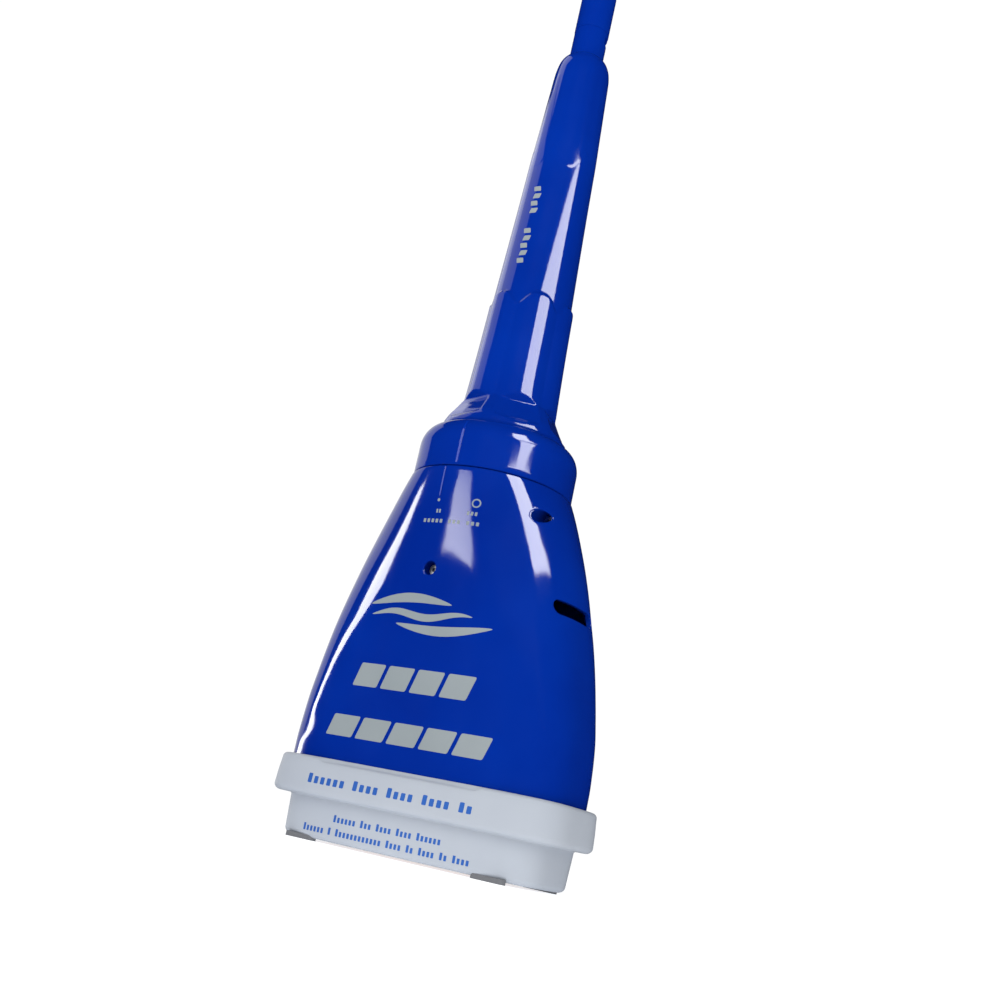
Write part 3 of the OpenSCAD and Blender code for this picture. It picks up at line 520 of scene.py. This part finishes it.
def slot_loop(side, grow=0.0, steps=14, straight=20):
    """Flat outline of a side outlet on the front shell."""
    r = OUTLET_H / 2
    half = OUTLET_L / 2 - r
    ends = []
    for cy, start in ((half, -90), (-half, 90)):
        t = np.radians(start + 180 * np.arange(steps + 1) / steps)
        ends.append(np.stack([cy + (r + grow) * np.cos(t), OUTLET_Z + (r + grow) * np.sin(t)], 1))
    run = np.linspace(half, -half, straight + 1)[1:-1]
    top = np.stack([run, np.full(len(run), OUTLET_Z + r + grow)], 1)
    low = np.stack([-run, np.full(len(run), OUTLET_Z - r - grow)], 1)
    loop = np.concatenate([ends[0], top, ends[1], low])
    flat = to_flat(angle_at_y(loop[:, 0], loop[:, 1]), loop[:, 1], True)
    return flat * np.array([side, 1.0])


def outline(inset, across=141, tall=101):
    """The shell's edge in (s, z), drawn in by inset."""
    w = S_MAX - inset
    low, high = BODY_BOTTOM + inset, BODY_TOP - inset
    s, z = np.linspace(-w, w, across), np.linspace(low, high, tall)
    return np.concatenate([
        np.stack([s, np.full(across, low)], 1), np.stack([np.full(tall, w), z], 1)[1:],
        np.stack([s[::-1], np.full(across, high)], 1)[1:],
        np.stack([np.full(tall, -w), z[::-1]], 1)[1:-1]])


def rounding(steps=4):
    """(inset along the skin, depth below it) round a quarter-circle edge."""
    return [(EDGE_R * (1 - math.sin(t)), EDGE_R * (1 - math.cos(t)))
            for t in np.radians(np.linspace(0, 90, steps + 1))]


def skin_loops(skin, loops):
    """The point numbers of each loop, which come first in a meshed skin."""
    ends = np.cumsum([len(loop) for loop in loops])
    return [skin[end - len(loop):end] for loop, end in zip(loops, ends)]


def screw_well(build, x, z, seat, front, rim, hole):
    """The bore from its rim down to the head's seat, and the boss round it, which closes the
    hole in the inside skin."""
    out = 1 if front else -1
    t = turns(len(rim))

    def turn_ring(r, y):
        return np.stack([x + r * np.cos(t), np.full(len(t), y), z + r * np.sin(t)], 1)

    top = np.array([build.verts[i] for i in rim])
    straight = turn_ring(WELL_R, 0)
    straight[:, 1] = out * np.minimum(out * top[:, 1] + 0.4, out * seat - 0.4)
    # Behind the wall the bore is wider than its mouth
    wide_r = WELL_R + UNDERCUT
    wide = turn_ring(wide_r, 0)
    skin_y = lift(well_loop(x, z, wide_r, front), front)[:, 1]
    wide[:, 1] = out * np.minimum(out * skin_y + 1.5, out * seat - 0.2)
    shank_end = seat + out * SEAT_T * 0.9
    ids = [rim] + [build.add(points) for points in (
        straight, wide, turn_ring(wide_r, seat), turn_ring(SHANK_R, seat),
        turn_ring(SHANK_R - 0.1, shank_end))]
    for low, high in zip(ids, ids[1:]):
        build.bridge(low, high)
    build.fan(ids[-1], (x, shank_end, z))
    # Boss
    outer = turn_ring(WELL_R + BOSS_T, 0)
    wall_y = lift(well_loop(x, z, WELL_R + BOSS_T, front), front, BOSS_DEPTH)[:, 1]
    outer[:, 1] = out * np.minimum(out * wall_y, out * seat)
    inner = turn_ring(wide_r + 0.06, 0)
    inner[:, 1] = outer[:, 1]
    low_y = seat + out * SEAT_T
    build.rings([outer, turn_ring(WELL_R + BOSS_T, low_y), turn_ring(SHANK_R + 0.2, low_y),
                 turn_ring(SHANK_R + 0.2, seat + out * 0.3),
                 turn_ring(wide_r + 0.06, seat + out * 0.3), inner])
    build.bridge(hole, build.add(outer))


def shell_half(front):
    """The front or the back shell, with its wells and outlets."""
    screws = FRONT_SCREWS if front else BACK_SCREWS
    sides = (-1, 1) if front else ()
    wells = slice(1, 1 + len(screws))
    build = Build()

    def loops(inset, well_inset=None):
        well_r = WELL_R + (inset if well_inset is None else well_inset)
        return ([outline(inset)] + [well_loop(x, z, well_r, front) for x, z, _ in screws]
                + [slot_loop(s, inset) for s in sides])

    def add_skin(edges, depth, step):
        pts, tris = mesh_patch(edges[0], edges[1:], step)
        skin = build.add(lift(pts, front, depth))
        build.faces += [tuple(skin[i] for i in t) for t in tris]
        return skin_loops(skin, edges)

    # Outside skin, and each edge of it rounded down into the wall
    rims = add_skin(loops(EDGE_R), 0.0, 1.7)
    for inset, depth in rounding()[1:]:
        for k, loop in enumerate(loops(inset)):
            ids = build.add(lift(loop, front, depth))
            build.bridge(rims[k], ids)
            rims[k] = ids
    # Inside skin, joined to the outline and to the outlets, open round each screw's boss
    inner = add_skin(loops(0, BOSS_T + 0.6), WALL, 4.5)
    for rim, ids in zip(rims[:1] + rims[wells.stop:], inner[:1] + inner[wells.stop:]):
        build.bridge(rim, ids)
    for (x, z, seat), rim, hole in zip(screws, rims[wells], inner[wells]):
        screw_well(build, x, z, seat, front, rim, hole)
    if front:
        dress(build.make("front_shell"), "head", "blue_plastic", replaces=["body_front"])
    else:
        dress(build.make("back_shell"), "head", "blue_plastic", replaces=["body_back"])


shell_half(True)
shell_half(False)


# ---------------------------------------------------------------- nozzle
def nozzle():
    """Lip, band, socket, throat and the flap's lugs, skinned in that order from the mouth."""
    rows = []

    def row(z, shape, grow=0.0):
        a, b, n, cy = shape
        rows.append((z, a + grow, b + grow, n, cy))

    # Lip: a rolled mouth edge, then the outside with a slight draft
    face_z = MOUTH_Z + LIP_ROLL
    row(MOUTH_Z, LIP, -3.6)
    for x, z in arc(-4.0, face_z, 3.2, LIP_ROLL, -85, 0, 8):
        row(z, LIP, x)
    for z in (8, 12, 16, LIP_H - 1.0):
        row(z, LIP, LIP_DRAFT * ((z - face_z) / (LIP_H - 1.0 - face_z) - 1))
    # Inside corner under the band
    for x, z in arc(1.0, LIP_H - 1.0, 1.0, 1.0, 180, 90, 5)[1:]:
        row(z, LIP, x)
    # Band: underside, rolled lower edge, face and rolled upper edge
    row(LIP_H, BAND, -3.4)
    for x, z in arc(-3, LIP_H + 3, 3, 3, -90, 0, 10):
        row(z, BAND, x)
    for z, x in ((BAND_FACE_Z, -0.1), (30, -0.2), (33, -0.4), (35.5, -0.6)):
        row(z, BAND, x)
    for x, z in arc(-2.8, BAND_TOP - 2.4, 2.1, 2.4, 12, 90, 8):
        row(z, BAND, x)
    # Socket round the body, then the throat down to the mouth
    for z, gap in ((BAND_TOP, 0.7), (BAND_TOP - 0.5, 0.2), (SOCKET_Z, 0.2)):
        row(z, BODY[0, 1:], gap)
    for z, a, b, n in THROAT:
        row(z, (a, b, n, LIP[3]))
    rings = [ring(*r, 320) for r in rows]
    # Finger recess in the front top edge of the band
    body_front_y = BODY[0, 4] - BODY[0, 2]
    for pts in rings:
        front = step_up((body_front_y - 0.6 - pts[:, 1]) / 1.2)
        along = step_up((RECESS_L - np.abs(pts[:, 0])) / 3.0)
        high = step_up((pts[:, 2] - (BAND_TOP - RECESS_H)) / RECESS_H)
        pts[:, 2] -= RECESS_D * front * along * high
    build = Build()
    build.rings(rings)
    # Lugs that hold the flap's pin: plates with a rounded top
    side = ([(LUG_Y - LUG_R, LUG_FOOT_Z), (LUG_Y + LUG_R, LUG_FOOT_Z)]
            + arc(LUG_Y, LUG_Z, LUG_R, LUG_R, 0, 180, 14))
    for x in LUG_XS:
        build.rings([[(x + s * LUG_T / 2, y, z) for y, z in side] for s in (-1, 1)],
                    closed=False)
    dress(build.make("nozzle_shell"), "nozzle", "white_plastic", replaces=["nozzle_cap"])


nozzle()


# ---------------------------------------------------------------- collar
def collar():
    """The twist collar, turned from its profile of (radius, height) points."""
    foot_r = COLLAR_BORE[-1][0]
    profile = (
        [(foot_r, COLLAR_Z), (COLLAR_R - COLLAR_EDGE, COLLAR_Z)]
        + arc(COLLAR_R - COLLAR_EDGE, COLLAR_Z + COLLAR_EDGE, COLLAR_EDGE, COLLAR_EDGE, -70, 0, 4)
        + [(COLLAR_R, z) for z in (194, 198, 202, 205)]
        + arc(COLLAR_R - ROUND_W, ROUND_Z, ROUND_W, ROUND_H, 0, 84, 22) + COLLAR_BORE)
    build = Build()
    build.rings([circle(z, r, 256) for r, z in profile])
    dress(build.make("collar_shell"), "handle", "blue_plastic", replaces=["collar_ring"])


collar()


# ---------------------------------------------------------------- handle
def lobe_weight(t):
    """1 along the middle of each lobe, 0 in each valley."""
    return 0.5 + 0.5 * np.cos(LOBES * (t - math.radians(LOBE_TURN)))


def handle_radius(z, t):
    """Outside radius at one height and angles t."""
    w = lobe_weight(t)
    shape = w ** 0.6
    # The flare under the grip is flattened below each lobe, with creases between
    off = (t - math.radians(LOBE_TURN) + math.pi / LOBES) % (2 * math.pi / LOBES) - math.pi / LOBES
    flat = PETAL * step_up((z - 220.0) / 4.5) * step_up((239.0 - z) / 5.0)
    low, high, shaft = (hermite(table, z)[0] for table in (GRIP_LOW, GRIP_HIGH, SHAFT))
    grip_low = (low[1] + (low[0] - low[1]) * shape) * np.minimum(1, (1 - flat) / np.cos(off))
    grip_high = high[1] + (high[0] - high[1]) * shape
    low_end = step_up((LOW_GRIP_END - LOW_GRIP_DROP * (1 - w) ** 2 - z) / 2.4)
    high_start = step_up((z - HIGH_GRIP_START - HIGH_GRIP_RISE * (1 - w) ** 1.6) / 1.8)
    return shaft[0] + (grip_low - shaft[0]) * low_end + (grip_high - shaft[0]) * high_start


def handle():
    """The handle's tube, with rings closer together where the outside changes quickly."""
    count = 360
    t = turns(count)
    heights = np.unique(np.concatenate([
        np.arange(FLARE_Z, 242, 0.6), np.arange(242, 286, 2.5), np.arange(286, 301, 0.5),
        np.arange(301, 372, 3.0), np.arange(372, 394, 0.6), np.arange(394, 442, 2.5),
        np.arange(442, SHOULDER_Z + 0.01, 0.5)]))
    rings = [circle(FOOT_Z, FOOT_R, count), circle(FLARE_Z - 1.1, FOOT_R, count),
             circle(FLARE_Z - 0.4, FOOT_R - 0.3, count)]
    for z in heights:
        r = handle_radius(z, t) - 0.35 * max(0.0, FLARE_Z + 1 - z)
        rings.append(np.stack([r * np.cos(t), r * np.sin(t), np.full(count, z)], 1))
    rings += [circle(z, r, count) for z, r in HANDLE_BORE]
    build = Build()
    build.rings(rings)
    dress(build.make("handle_shell"), "handle", "blue_plastic", replaces=["handle_tube"], angle=28)


handle()


# ---------------------------------------------------------------- printed marks
def thick_patch(name, shapes, place, body, ink, rise=0.05, step=1.6):
    """A thin layer of ink or plastic on a curved face. Each shape is a list of loops in the face's
    flat coordinates, the first of them its outside; place(flat, rise) gives 3D points."""
    build = Build()
    for loops in shapes:
        pts, tris = mesh_patch(loops[0], loops[1:], step)
        top = build.add(place(pts, rise))
        low = build.add(place(pts, -0.12))
        build.faces += [tuple(top[i] for i in t) for t in tris]
        build.faces += [tuple(low[i] for i in t[::-1]) for t in tris]
        first = 0
        for loop in loops:
            ids = range(first, first + len(loop))
            build.bridge([top[i] for i in ids], [low[i] for i in ids])
            first += len(loop)
    slot = "white_plastic" if ink == "print_blue" else "blue_plastic"
    dress(build.make(name), body, slot, ink)


def on_body(flat, rise):
    """The body's front at (x, z)."""
    return lift(to_flat(angle_at_x(flat[:, 0], flat[:, 1], True), flat[:, 1], True), True, -rise)


def on_ring(shape, low_z, draft):
    """The front of the band or the lip at (x, z); draft is the change of half width per mm."""
    a, b, n, cy = shape

    def place(flat, rise):
        grow = draft * (flat[:, 1] - low_z) + rise
        v = np.clip(flat[:, 0] / (a + grow), -1, 1)
        y = cy - (b + grow) * (1 - np.abs(v) ** n) ** (1 / n)
        return np.stack([flat[:, 0], y, flat[:, 1]], 1)
    return place


def on_handle(flat, rise):
    """The handle at (mm round from the front, z)."""
    r = np.array([handle_radius(z, np.array([-math.pi / 2]))[0] for z in flat[:, 1]])
    t = -math.pi / 2 + flat[:, 0] / r
    r = np.array([handle_radius(z, np.array([v]))[0] for z, v in zip(flat[:, 1], t)]) + rise
    return np.stack([r * np.cos(t), r * np.sin(t), flat[:, 1]], 1)


def refine(points, step=1.6):
    """Adds points along a loop's edges so that none is longer than step."""
    points = np.asarray(points, float)
    out = []
    for p, q in zip(points, np.roll(points, -1, 0)):
        n = max(1, int(math.ceil(np.linalg.norm(q - p) / step)))
        out += [p + (q - p) * k / n for k in range(n)]
    return np.array(out)


def slanted(x0, z0, x1, z1, slant, r=0.5):
    """A parallelogram with rounded corners; slant is the sideways shift per mm of height."""
    corners = [(x0 + r, z0 + r, 180), (x1 - r, z0 + r, 270), (x1 - r, z1 - r, 0),
               (x0 + r, z1 - r, 90)]
    pts = [p for cx, cz, start in corners for p in arc(cx, cz, r, r, start, start + 90, 3)]
    return refine([(x + slant * (z - z0), z) for x, z in pts])


def disc(x, z, r, count=28):
    """A round loop."""
    t = 2 * np.pi * np.arange(count) / count
    return np.stack([x + r * np.cos(t), z + r * np.sin(t)], 1)


def wave(x0, x1, z, rise, thick, swing, cycles, phase):
    """A tapering wave, z at its left end and rise over its length."""
    u = np.linspace(0, 1, 46)
    mid = z + rise * u + swing * np.sin(2 * np.pi * (cycles * u + phase))
    half = 0.12 + thick / 2 * np.sin(np.pi * u) ** 0.7
    x = x0 + (x1 - x0) * u
    return np.concatenate([np.stack([x, mid - half], 1), np.stack([x, mid + half], 1)[::-1]])


def ticks(words, x0, x1, z0, cap, low, width=0.6):
    """A row of plain ticks in groups, where the real thing has a line of small print: the first of
    each group is cap high and the rest low, and width is their share of the pitch."""
    pitch = (x1 - x0) / (sum(words) + len(words) - 1)
    half = width * pitch / 2
    shapes, at = [], 0
    for count in words:
        for k in range(count):
            x = x0 + (at + k + 0.5) * pitch
            shapes.append([slanted(x - half, z0, x + half, z0 + (low if k else cap), 0.0,
                                   0.36 * half)])
        at += count + 1
    return shapes


def blocks(count, x0, width, gap, z0, z1, slant):
    """A row of plain slanted blocks."""
    return [[slanted(x0 + k * (width + gap), z0, x0 + k * (width + gap) + width, z1, slant, 0.9)]
            for k in range(count)]


thick_patch("print_waves", [
    [wave(-33, 16, 118.5, 2.2, 4.4, 2.6, 0.55, 0.97)],
    [wave(-31, 28, 113.6, 1.4, 3.4, 1.3, 1.5, 0.9)],
    [wave(-15, 39, 109.6, 1.6, 4.4, -3.0, 0.5, 0.02)],
], on_body, "head", "print_grey")
thick_patch("print_blocks_upper", blocks(4, -37.5, 15.2, 2.3, 77.2, 88.6, 0.42), on_body, "head",
            "print_grey")
thick_patch("print_blocks_lower", blocks(5, -49.5, 16.8, 2.3, 51.8, 62.4, 0.36), on_body, "head",
            "print_grey")
# On mark, off mark and the rows under them
thick_patch("print_dial", [
    [disc(-2.1, 171.8, 0.8)], [disc(18.5, 171.6, 2.3), disc(18.5, 171.6, 1.6)[::-1]],
] + ticks([2], -2.6, 0.6, 165.2, 1.9, 1.9) + ticks([3], 14.5, 20.5, 165.2, 1.9, 1.9)
    + ticks([5, 3, 3], -9.5, 22.5, 160.2, 1.9, 1.9), on_body, "head", "print_grey", step=1.2)
thick_patch("body_mark", [[slanted(-2.45, 174, -1.75, 189.3, 0.0, 0.3)]], on_body, "head",
            "blue_plastic", 0.3)
on_band = on_ring((BAND[0] - 0.1, BAND[1] - 0.1, *BAND[2:]), BAND_FACE_Z, -0.045)
thick_patch("print_band", ticks([6, 4, 4, 4, 2], -51.5, 46.5, BAND_FACE_Z, 4.6, 3.5, 0.62),
            on_band, "nozzle", "print_blue")
on_lip = on_ring((LIP[0] - LIP_DRAFT, LIP[1] - LIP_DRAFT, *LIP[2:]), MOUTH_Z + LIP_ROLL,
                 LIP_DRAFT / (LIP_H - 1.0 - MOUTH_Z - LIP_ROLL))
thick_patch("print_lip", ticks([6, 3, 4, 4, 6], -34.5, 29.5, 10.9, 3.4, 2.5)
            + ticks([6, 1, 12, 4, 2, 4, 2, 4], -53.0, 46.0, 4.6, 3.4, 2.5),
            on_lip, "nozzle", "print_blue")
thick_patch("print_handle", [
    [slanted(-2.1, z, 2.1, z + 3.0, 0.25 if k % 2 else -0.25, 0.5)]
    for k, z in enumerate([314, 318.6, 323.2, 327.8, 332.4, 345, 349.6, 354.2, 358.8])
], on_handle, "handle", "print_grey")


def index_line():
    """Raised line down the collar that points at the marks on the body."""
    path = ([(COLLAR_R, COLLAR_Z + 1.2), (COLLAR_R, 198), (COLLAR_R, 203)]
            + arc(COLLAR_R - ROUND_W, ROUND_Z, ROUND_W, ROUND_H, 0, 52, 8))
    middle = math.radians(INDEX_DEG - 90)
    rings = []
    for k, (radius, z) in enumerate(path):
        top = 0.1 if k in (0, len(path) - 1) else INDEX_RISE
        row = []
        for off, rise in ((-0.75, -0.5), (-0.5, top), (0.5, top), (0.75, -0.5)):
            t = middle + off / COLLAR_R
            row.append(((radius + rise) * math.cos(t), (radius + rise) * math.sin(t), z))
        rings.append(row)
    build = Build()
    build.rings(rings, closed=False)
    dress(build.make("collar_mark"), "handle", "blue_plastic")


index_line()


# ---------------------------------------------------------------- filter bag
# Stations of the bag as it hangs in the body: height, half width, half depth, squareness, y
BAG = np.array([
    [35.1, 64.9, 24.9, 5, 4.6], [40, 65.4, 25.2, 4.6, 4.6], [45, 65.9, 25.5, 4.2, 4.6],
    [62, 65.4, 26.4, 3.2, 4.4], [80, 61.9, 27.3, 3, 4], [94, 53.8, 26.2, 2.8, 3.6],
    [102, 40, 20.6, 2.6, 3.4], [106.3, 22, 11.5, 2.4, 3.4]])


def filter_bag():
    """Thin cloth shell with gathers that deepen away from its frame."""
    foot_z, top_z, cloth_t = BAG[0, 0], 106.9, 0.5
    t = turns(288)

    def cloth_ring(z, a, b, n, cy, f, thick):
        x, y = squircle(a - thick, b - thick, n, cy, t)
        fold = (0.9 * np.sin(11 * t + 0.6 * f) + 0.6 * np.sin(23 * t + 2.0 * f)
                + 0.35 * np.sin(37 * t - 1.4 * f)) * min(1.0, f / 12) * 0.75
        scale = 1 - np.maximum(0.0, 1.4 + fold) * min(1.0, f / 10) / np.hypot(x, y - cy)
        drop = 0.3 * np.sin(5 * t + 0.3 * f) * min(1.0, f / 20)
        return np.stack([x * scale, cy + (y - cy) * scale, z + drop], 1)

    heights = np.concatenate([np.linspace(foot_z, 95, 40), np.linspace(96, BAG[-1, 0], 12)])
    rows = hermite(BAG, heights)
    outer = [cloth_ring(z, *row, z - foot_z, 0.0) for z, row in zip(heights, rows)]
    inner = [cloth_ring(z - (0.4 if z > 90 else 0), *row, z - foot_z, cloth_t)
             for z, row in zip(heights, rows)]
    build = Build()
    outer, inner = [build.add(r) for r in outer], [build.add(r) for r in inner[::-1]]
    for layer in (outer, inner):
        for low, high in zip(layer, layer[1:]):
            build.bridge(low, high)
    build.bridge(inner[-1], outer[0])
    build.fan(outer[-1], (0, BAG[-1, 4], top_z))
    build.fan(inner[0], (0, BAG[-1, 4], top_z - cloth_t))
    bag = dress(build.make("hung_bag"), "nozzle", "bag_cloth", replaces=["filter_bag"], angle=70)


filter_bag()


# ---------------------------------------------------------------- stage and light
def floor(half_size=60.0):
    """A pale paper floor that glossy faces don't see."""
    mesh = bpy.data.meshes.new("floor")
    corners = [(-1, -1), (1, -1), (1, 1), (-1, 1)]
    mesh.from_pydata([(x * half_size, y * half_size, 0) for x, y in corners], [], [(0, 1, 2, 3)])
    obj = bpy.data.objects.new("floor", mesh)
    bpy.context.scene.collection.objects.link(obj)
    mat, nodes, links, bsdf = material("floor_paper")
    links.new(ramp(nodes, links, noise(nodes, links, 3, 3), [(0.3, 0.90), (0.7, 0.92)]),
              bsdf.inputs["Base Color"])
    bsdf.inputs["Roughness"].default_value = 0.9
    bsdf.inputs["Specular IOR Level"].default_value = 0.0
    bsdf.inputs["Emission Color"].default_value = (1, 1, 1, 1)
    bsdf.inputs["Emission Strength"].default_value = 0.62
    obj.data.materials.append(mat)
    obj.visible_glossy = False


def far_point(start, azimuth, elevation, distance):
    """The point that many metres from start (mm), in metres; azimuth 0 is towards the front."""
    a, e = math.radians(azimuth), math.radians(elevation)
    return (start[0] * MM + distance * math.sin(a) * math.cos(e),
            start[1] * MM - distance * math.cos(a) * math.cos(e),
            start[2] * MM + distance * math.sin(e))


def aim_at(obj, pieces):
    """Only these pieces are lit by obj."""
    aimed = bpy.data.collections.new(obj.name + "_aim")
    for piece in pieces:
        aimed.objects.link(bpy.data.objects[piece])
    obj.light_linking.receiver_collection = aimed


def softbox(name, height, azimuth, elevation, distance, size, radiance, roll=0.0, diffuse=False,
            glossy=True, only=()):
    """A rectangular light that faces the handle's axis at that height (mm) from that distance.
    radiance is what its reflection shows, and only lists the pieces it lights."""
    target = (0, 0, height)
    at = far_point(target, azimuth, elevation, distance)
    data = bpy.data.lights.new(name, "AREA")
    data.shape = "RECTANGLE"
    data.size, data.size_y = size
    data.energy = math.pi * size[0] * size[1] * radiance
    obj = bpy.data.objects.new(name, data)
    bpy.context.scene.collection.objects.link(obj)
    aim = (MM * Vector(target) - Vector(at)).to_track_quat("-Z", "Y")
    obj.matrix_world = (Matrix.Translation(at) @ aim.to_matrix().to_4x4()
                        @ Matrix.Rotation(math.radians(roll), 4, "Z"))
    obj.visible_diffuse = diffuse
    obj.visible_glossy = glossy
    if only:
        aim_at(obj, only)


def card(name, stations, radiance, only, fade=None, distance=2.0):
    """A glowing studio card that only the reflections in some pieces see. stations are its left
    and right edge points from the foot up, each as the place on the object (x, y, z in mm) whose
    reflection looks at it and the azimuth and elevation of that look. fade is its strength at the
    lowest and the highest point."""
    verts = [far_point(look[:3], *look[3:], distance) for pair in stations for look in pair]
    faces = [(2 * k, 2 * k + 1, 2 * k + 3, 2 * k + 2) for k in range(len(stations) - 1)]
    mesh = bpy.data.meshes.new(name)
    mesh.from_pydata(verts, [], faces)
    obj = bpy.data.objects.new(name, mesh)
    bpy.context.scene.collection.objects.link(obj)
    mat, nodes, links, bsdf = material(name)
    bsdf.inputs["Base Color"].default_value = (0, 0, 0, 1)
    bsdf.inputs["Emission Color"].default_value = (1, 1, 1, 1)
    bsdf.inputs["Emission Strength"].default_value = radiance
    if fade:
        coord = nodes.new("ShaderNodeTexCoord")
        split = nodes.new("ShaderNodeSeparateXYZ")
        spread = nodes.new("ShaderNodeMapRange")
        spread.inputs["To Min"].default_value = radiance * fade[0]
        spread.inputs["To Max"].default_value = radiance * fade[1]
        links.new(coord.outputs["Generated"], split.inputs[0])
        links.new(split.outputs["Z"], spread.inputs["Value"])
        links.new(spread.outputs[0], bsdf.inputs["Emission Strength"])
    mesh.materials.append(mat)
    for part in ("camera", "diffuse", "transmission", "volume_scatter", "shadow"):
        setattr(obj, "visible_" + part, False)
    aim_at(obj, only)


def world():
    """White to the camera, soft grey light on the object, and nearly dark in reflections."""
    studio = bpy.data.worlds.new("world")
    bpy.context.scene.world = studio
    studio.use_nodes = True
    nodes, links = studio.node_tree.nodes, studio.node_tree.links
    path = nodes.new("ShaderNodeLightPath")
    total = None
    for output, strength in (("Is Camera Ray", 1.03), ("Is Diffuse Ray", 0.45),
                             ("Is Glossy Ray", 0.006)):
        term = nodes.new("ShaderNodeMath")
        term.operation = "MULTIPLY_ADD"
        term.inputs[1].default_value = strength
        term.inputs[2].default_value = 0.0
        links.new(path.outputs[output], term.inputs[0])
        if total:
            links.new(total, term.inputs[2])
        total = term.outputs[0]
    links.new(total, nodes["Background"].inputs["Strength"])
    nodes["Background"].inputs["Color"].default_value = (1, 1, 1, 1)


floor()
world()
bpy.context.scene.view_settings.view_transform = "Standard"
SHELLS = ["front_shell", "back_shell"]
# Right-hand key: the lower card lights the collar, the upper one the body and the collar's shoulder
card("key_body", [
    ((51.7, -24.4, 140.9, 56, 34.2), (55.6, -18.5, 144.5, 89, 37.8)),
    ((42.4, -27.8, 158.5, 50.5, 36.8), (46.9, -22.2, 162.3, 77, 41.6)),
    ((32, -30.5, 180, 48, 42), (38, -25, 180, 75, 46.5)),
    ((29, -31.7, 187, 48, 56), (35.7, -25.4, 186, 79, 60))], 15, SHELLS + ["collar_shell"])
card("key_collar", [
    ((27, -32, 190.8, 47, 15), (35.2, -22.8, 190.8, 82, 15)),
    ((27.2, -32, 192.6, 49, 16.7), (35, -23.2, 192.9, 80, 16.7)),
    ((30.4, -29, 194.6, 59, 16.95), (33.2, -25.7, 194.6, 71, 16.95)),
    ((30.2, -29.2, 205, 59.5, 17.8), (34.6, -23.8, 205.5, 77, 17.9)),
    ((28.5, -30.2, 208.6, 58, 31), (34.6, -23, 208.6, 84, 31.5))], 13, ["collar_shell"])
# Window on the front, and a strip along the left edge
card("front_window", [
    ((5.3, -39.9, 146.1, -31.4, 6.1), (22.9, -37.7, 139.8, -13.3, 8.8)),
    ((5.9, -41.1, 171.5, -25.3, 11), (15.8, -39.5, 170.9, -7.5, 14.2)),
    ((6.2, -41.5, 186.1, -19.9, 15.6), (13.3, -40.1, 185.2, -3, 19.2))], 9, SHELLS, (1.25, 0.45))
card("left_strip", [
    ((-72, -10, 45, -102, 0), (-72, -20, 45, -86, 0)),
    ((-70, -20, 75, -79, 2.3), (-70, -20, 75, -66, 2.3)),
    ((-66, -22, 110, -70, 6.8), (-66, -22, 110, -57, 6.8)),
    ((-58, -24, 140, -72, 12.4), (-58, -24, 140, -61, 12.4)),
    ((-46, -25, 172, -72, 16.5), (-46, -25, 172, -67, 16.5))], 14, SHELLS)
# The handle's key and sheens
softbox("key_handle", 220, 71, 27.6, 1.3, (0.9, 0.46), 12, roll=11.6, only=["handle_shell"])
softbox("handle_sheen", 220, -80, 30, 1.4, (1.6, 0.7), 0.9, only=["handle_shell"])
softbox("flare_sheen", 220, -72, 53, 1.5, (0.9, 0.5), 1.3, only=["handle_shell"])
# Small lights for the screw heads and the index marks alone
softbox("screw_light", 150, -30, 14, 1.5, (1.5, 0.9), 1.6, only=["body_screws"])
softbox("mark_light", 190, -20, 20, 1.5, (1.4, 1.0), 2.2, diffuse=True,
        only=["collar_mark", "body_mark"])
# Light on everything: a sheen from the left, and a soft fill that leaves no reflection
softbox("left_sheen", 220, -112, 12, 1.5, (1.4, 1.6), 0.8)
softbox("front_fill", 220, 25, 28, 2.0, (1.6, 1.6), 2.6, diffuse=True, glossy=False)
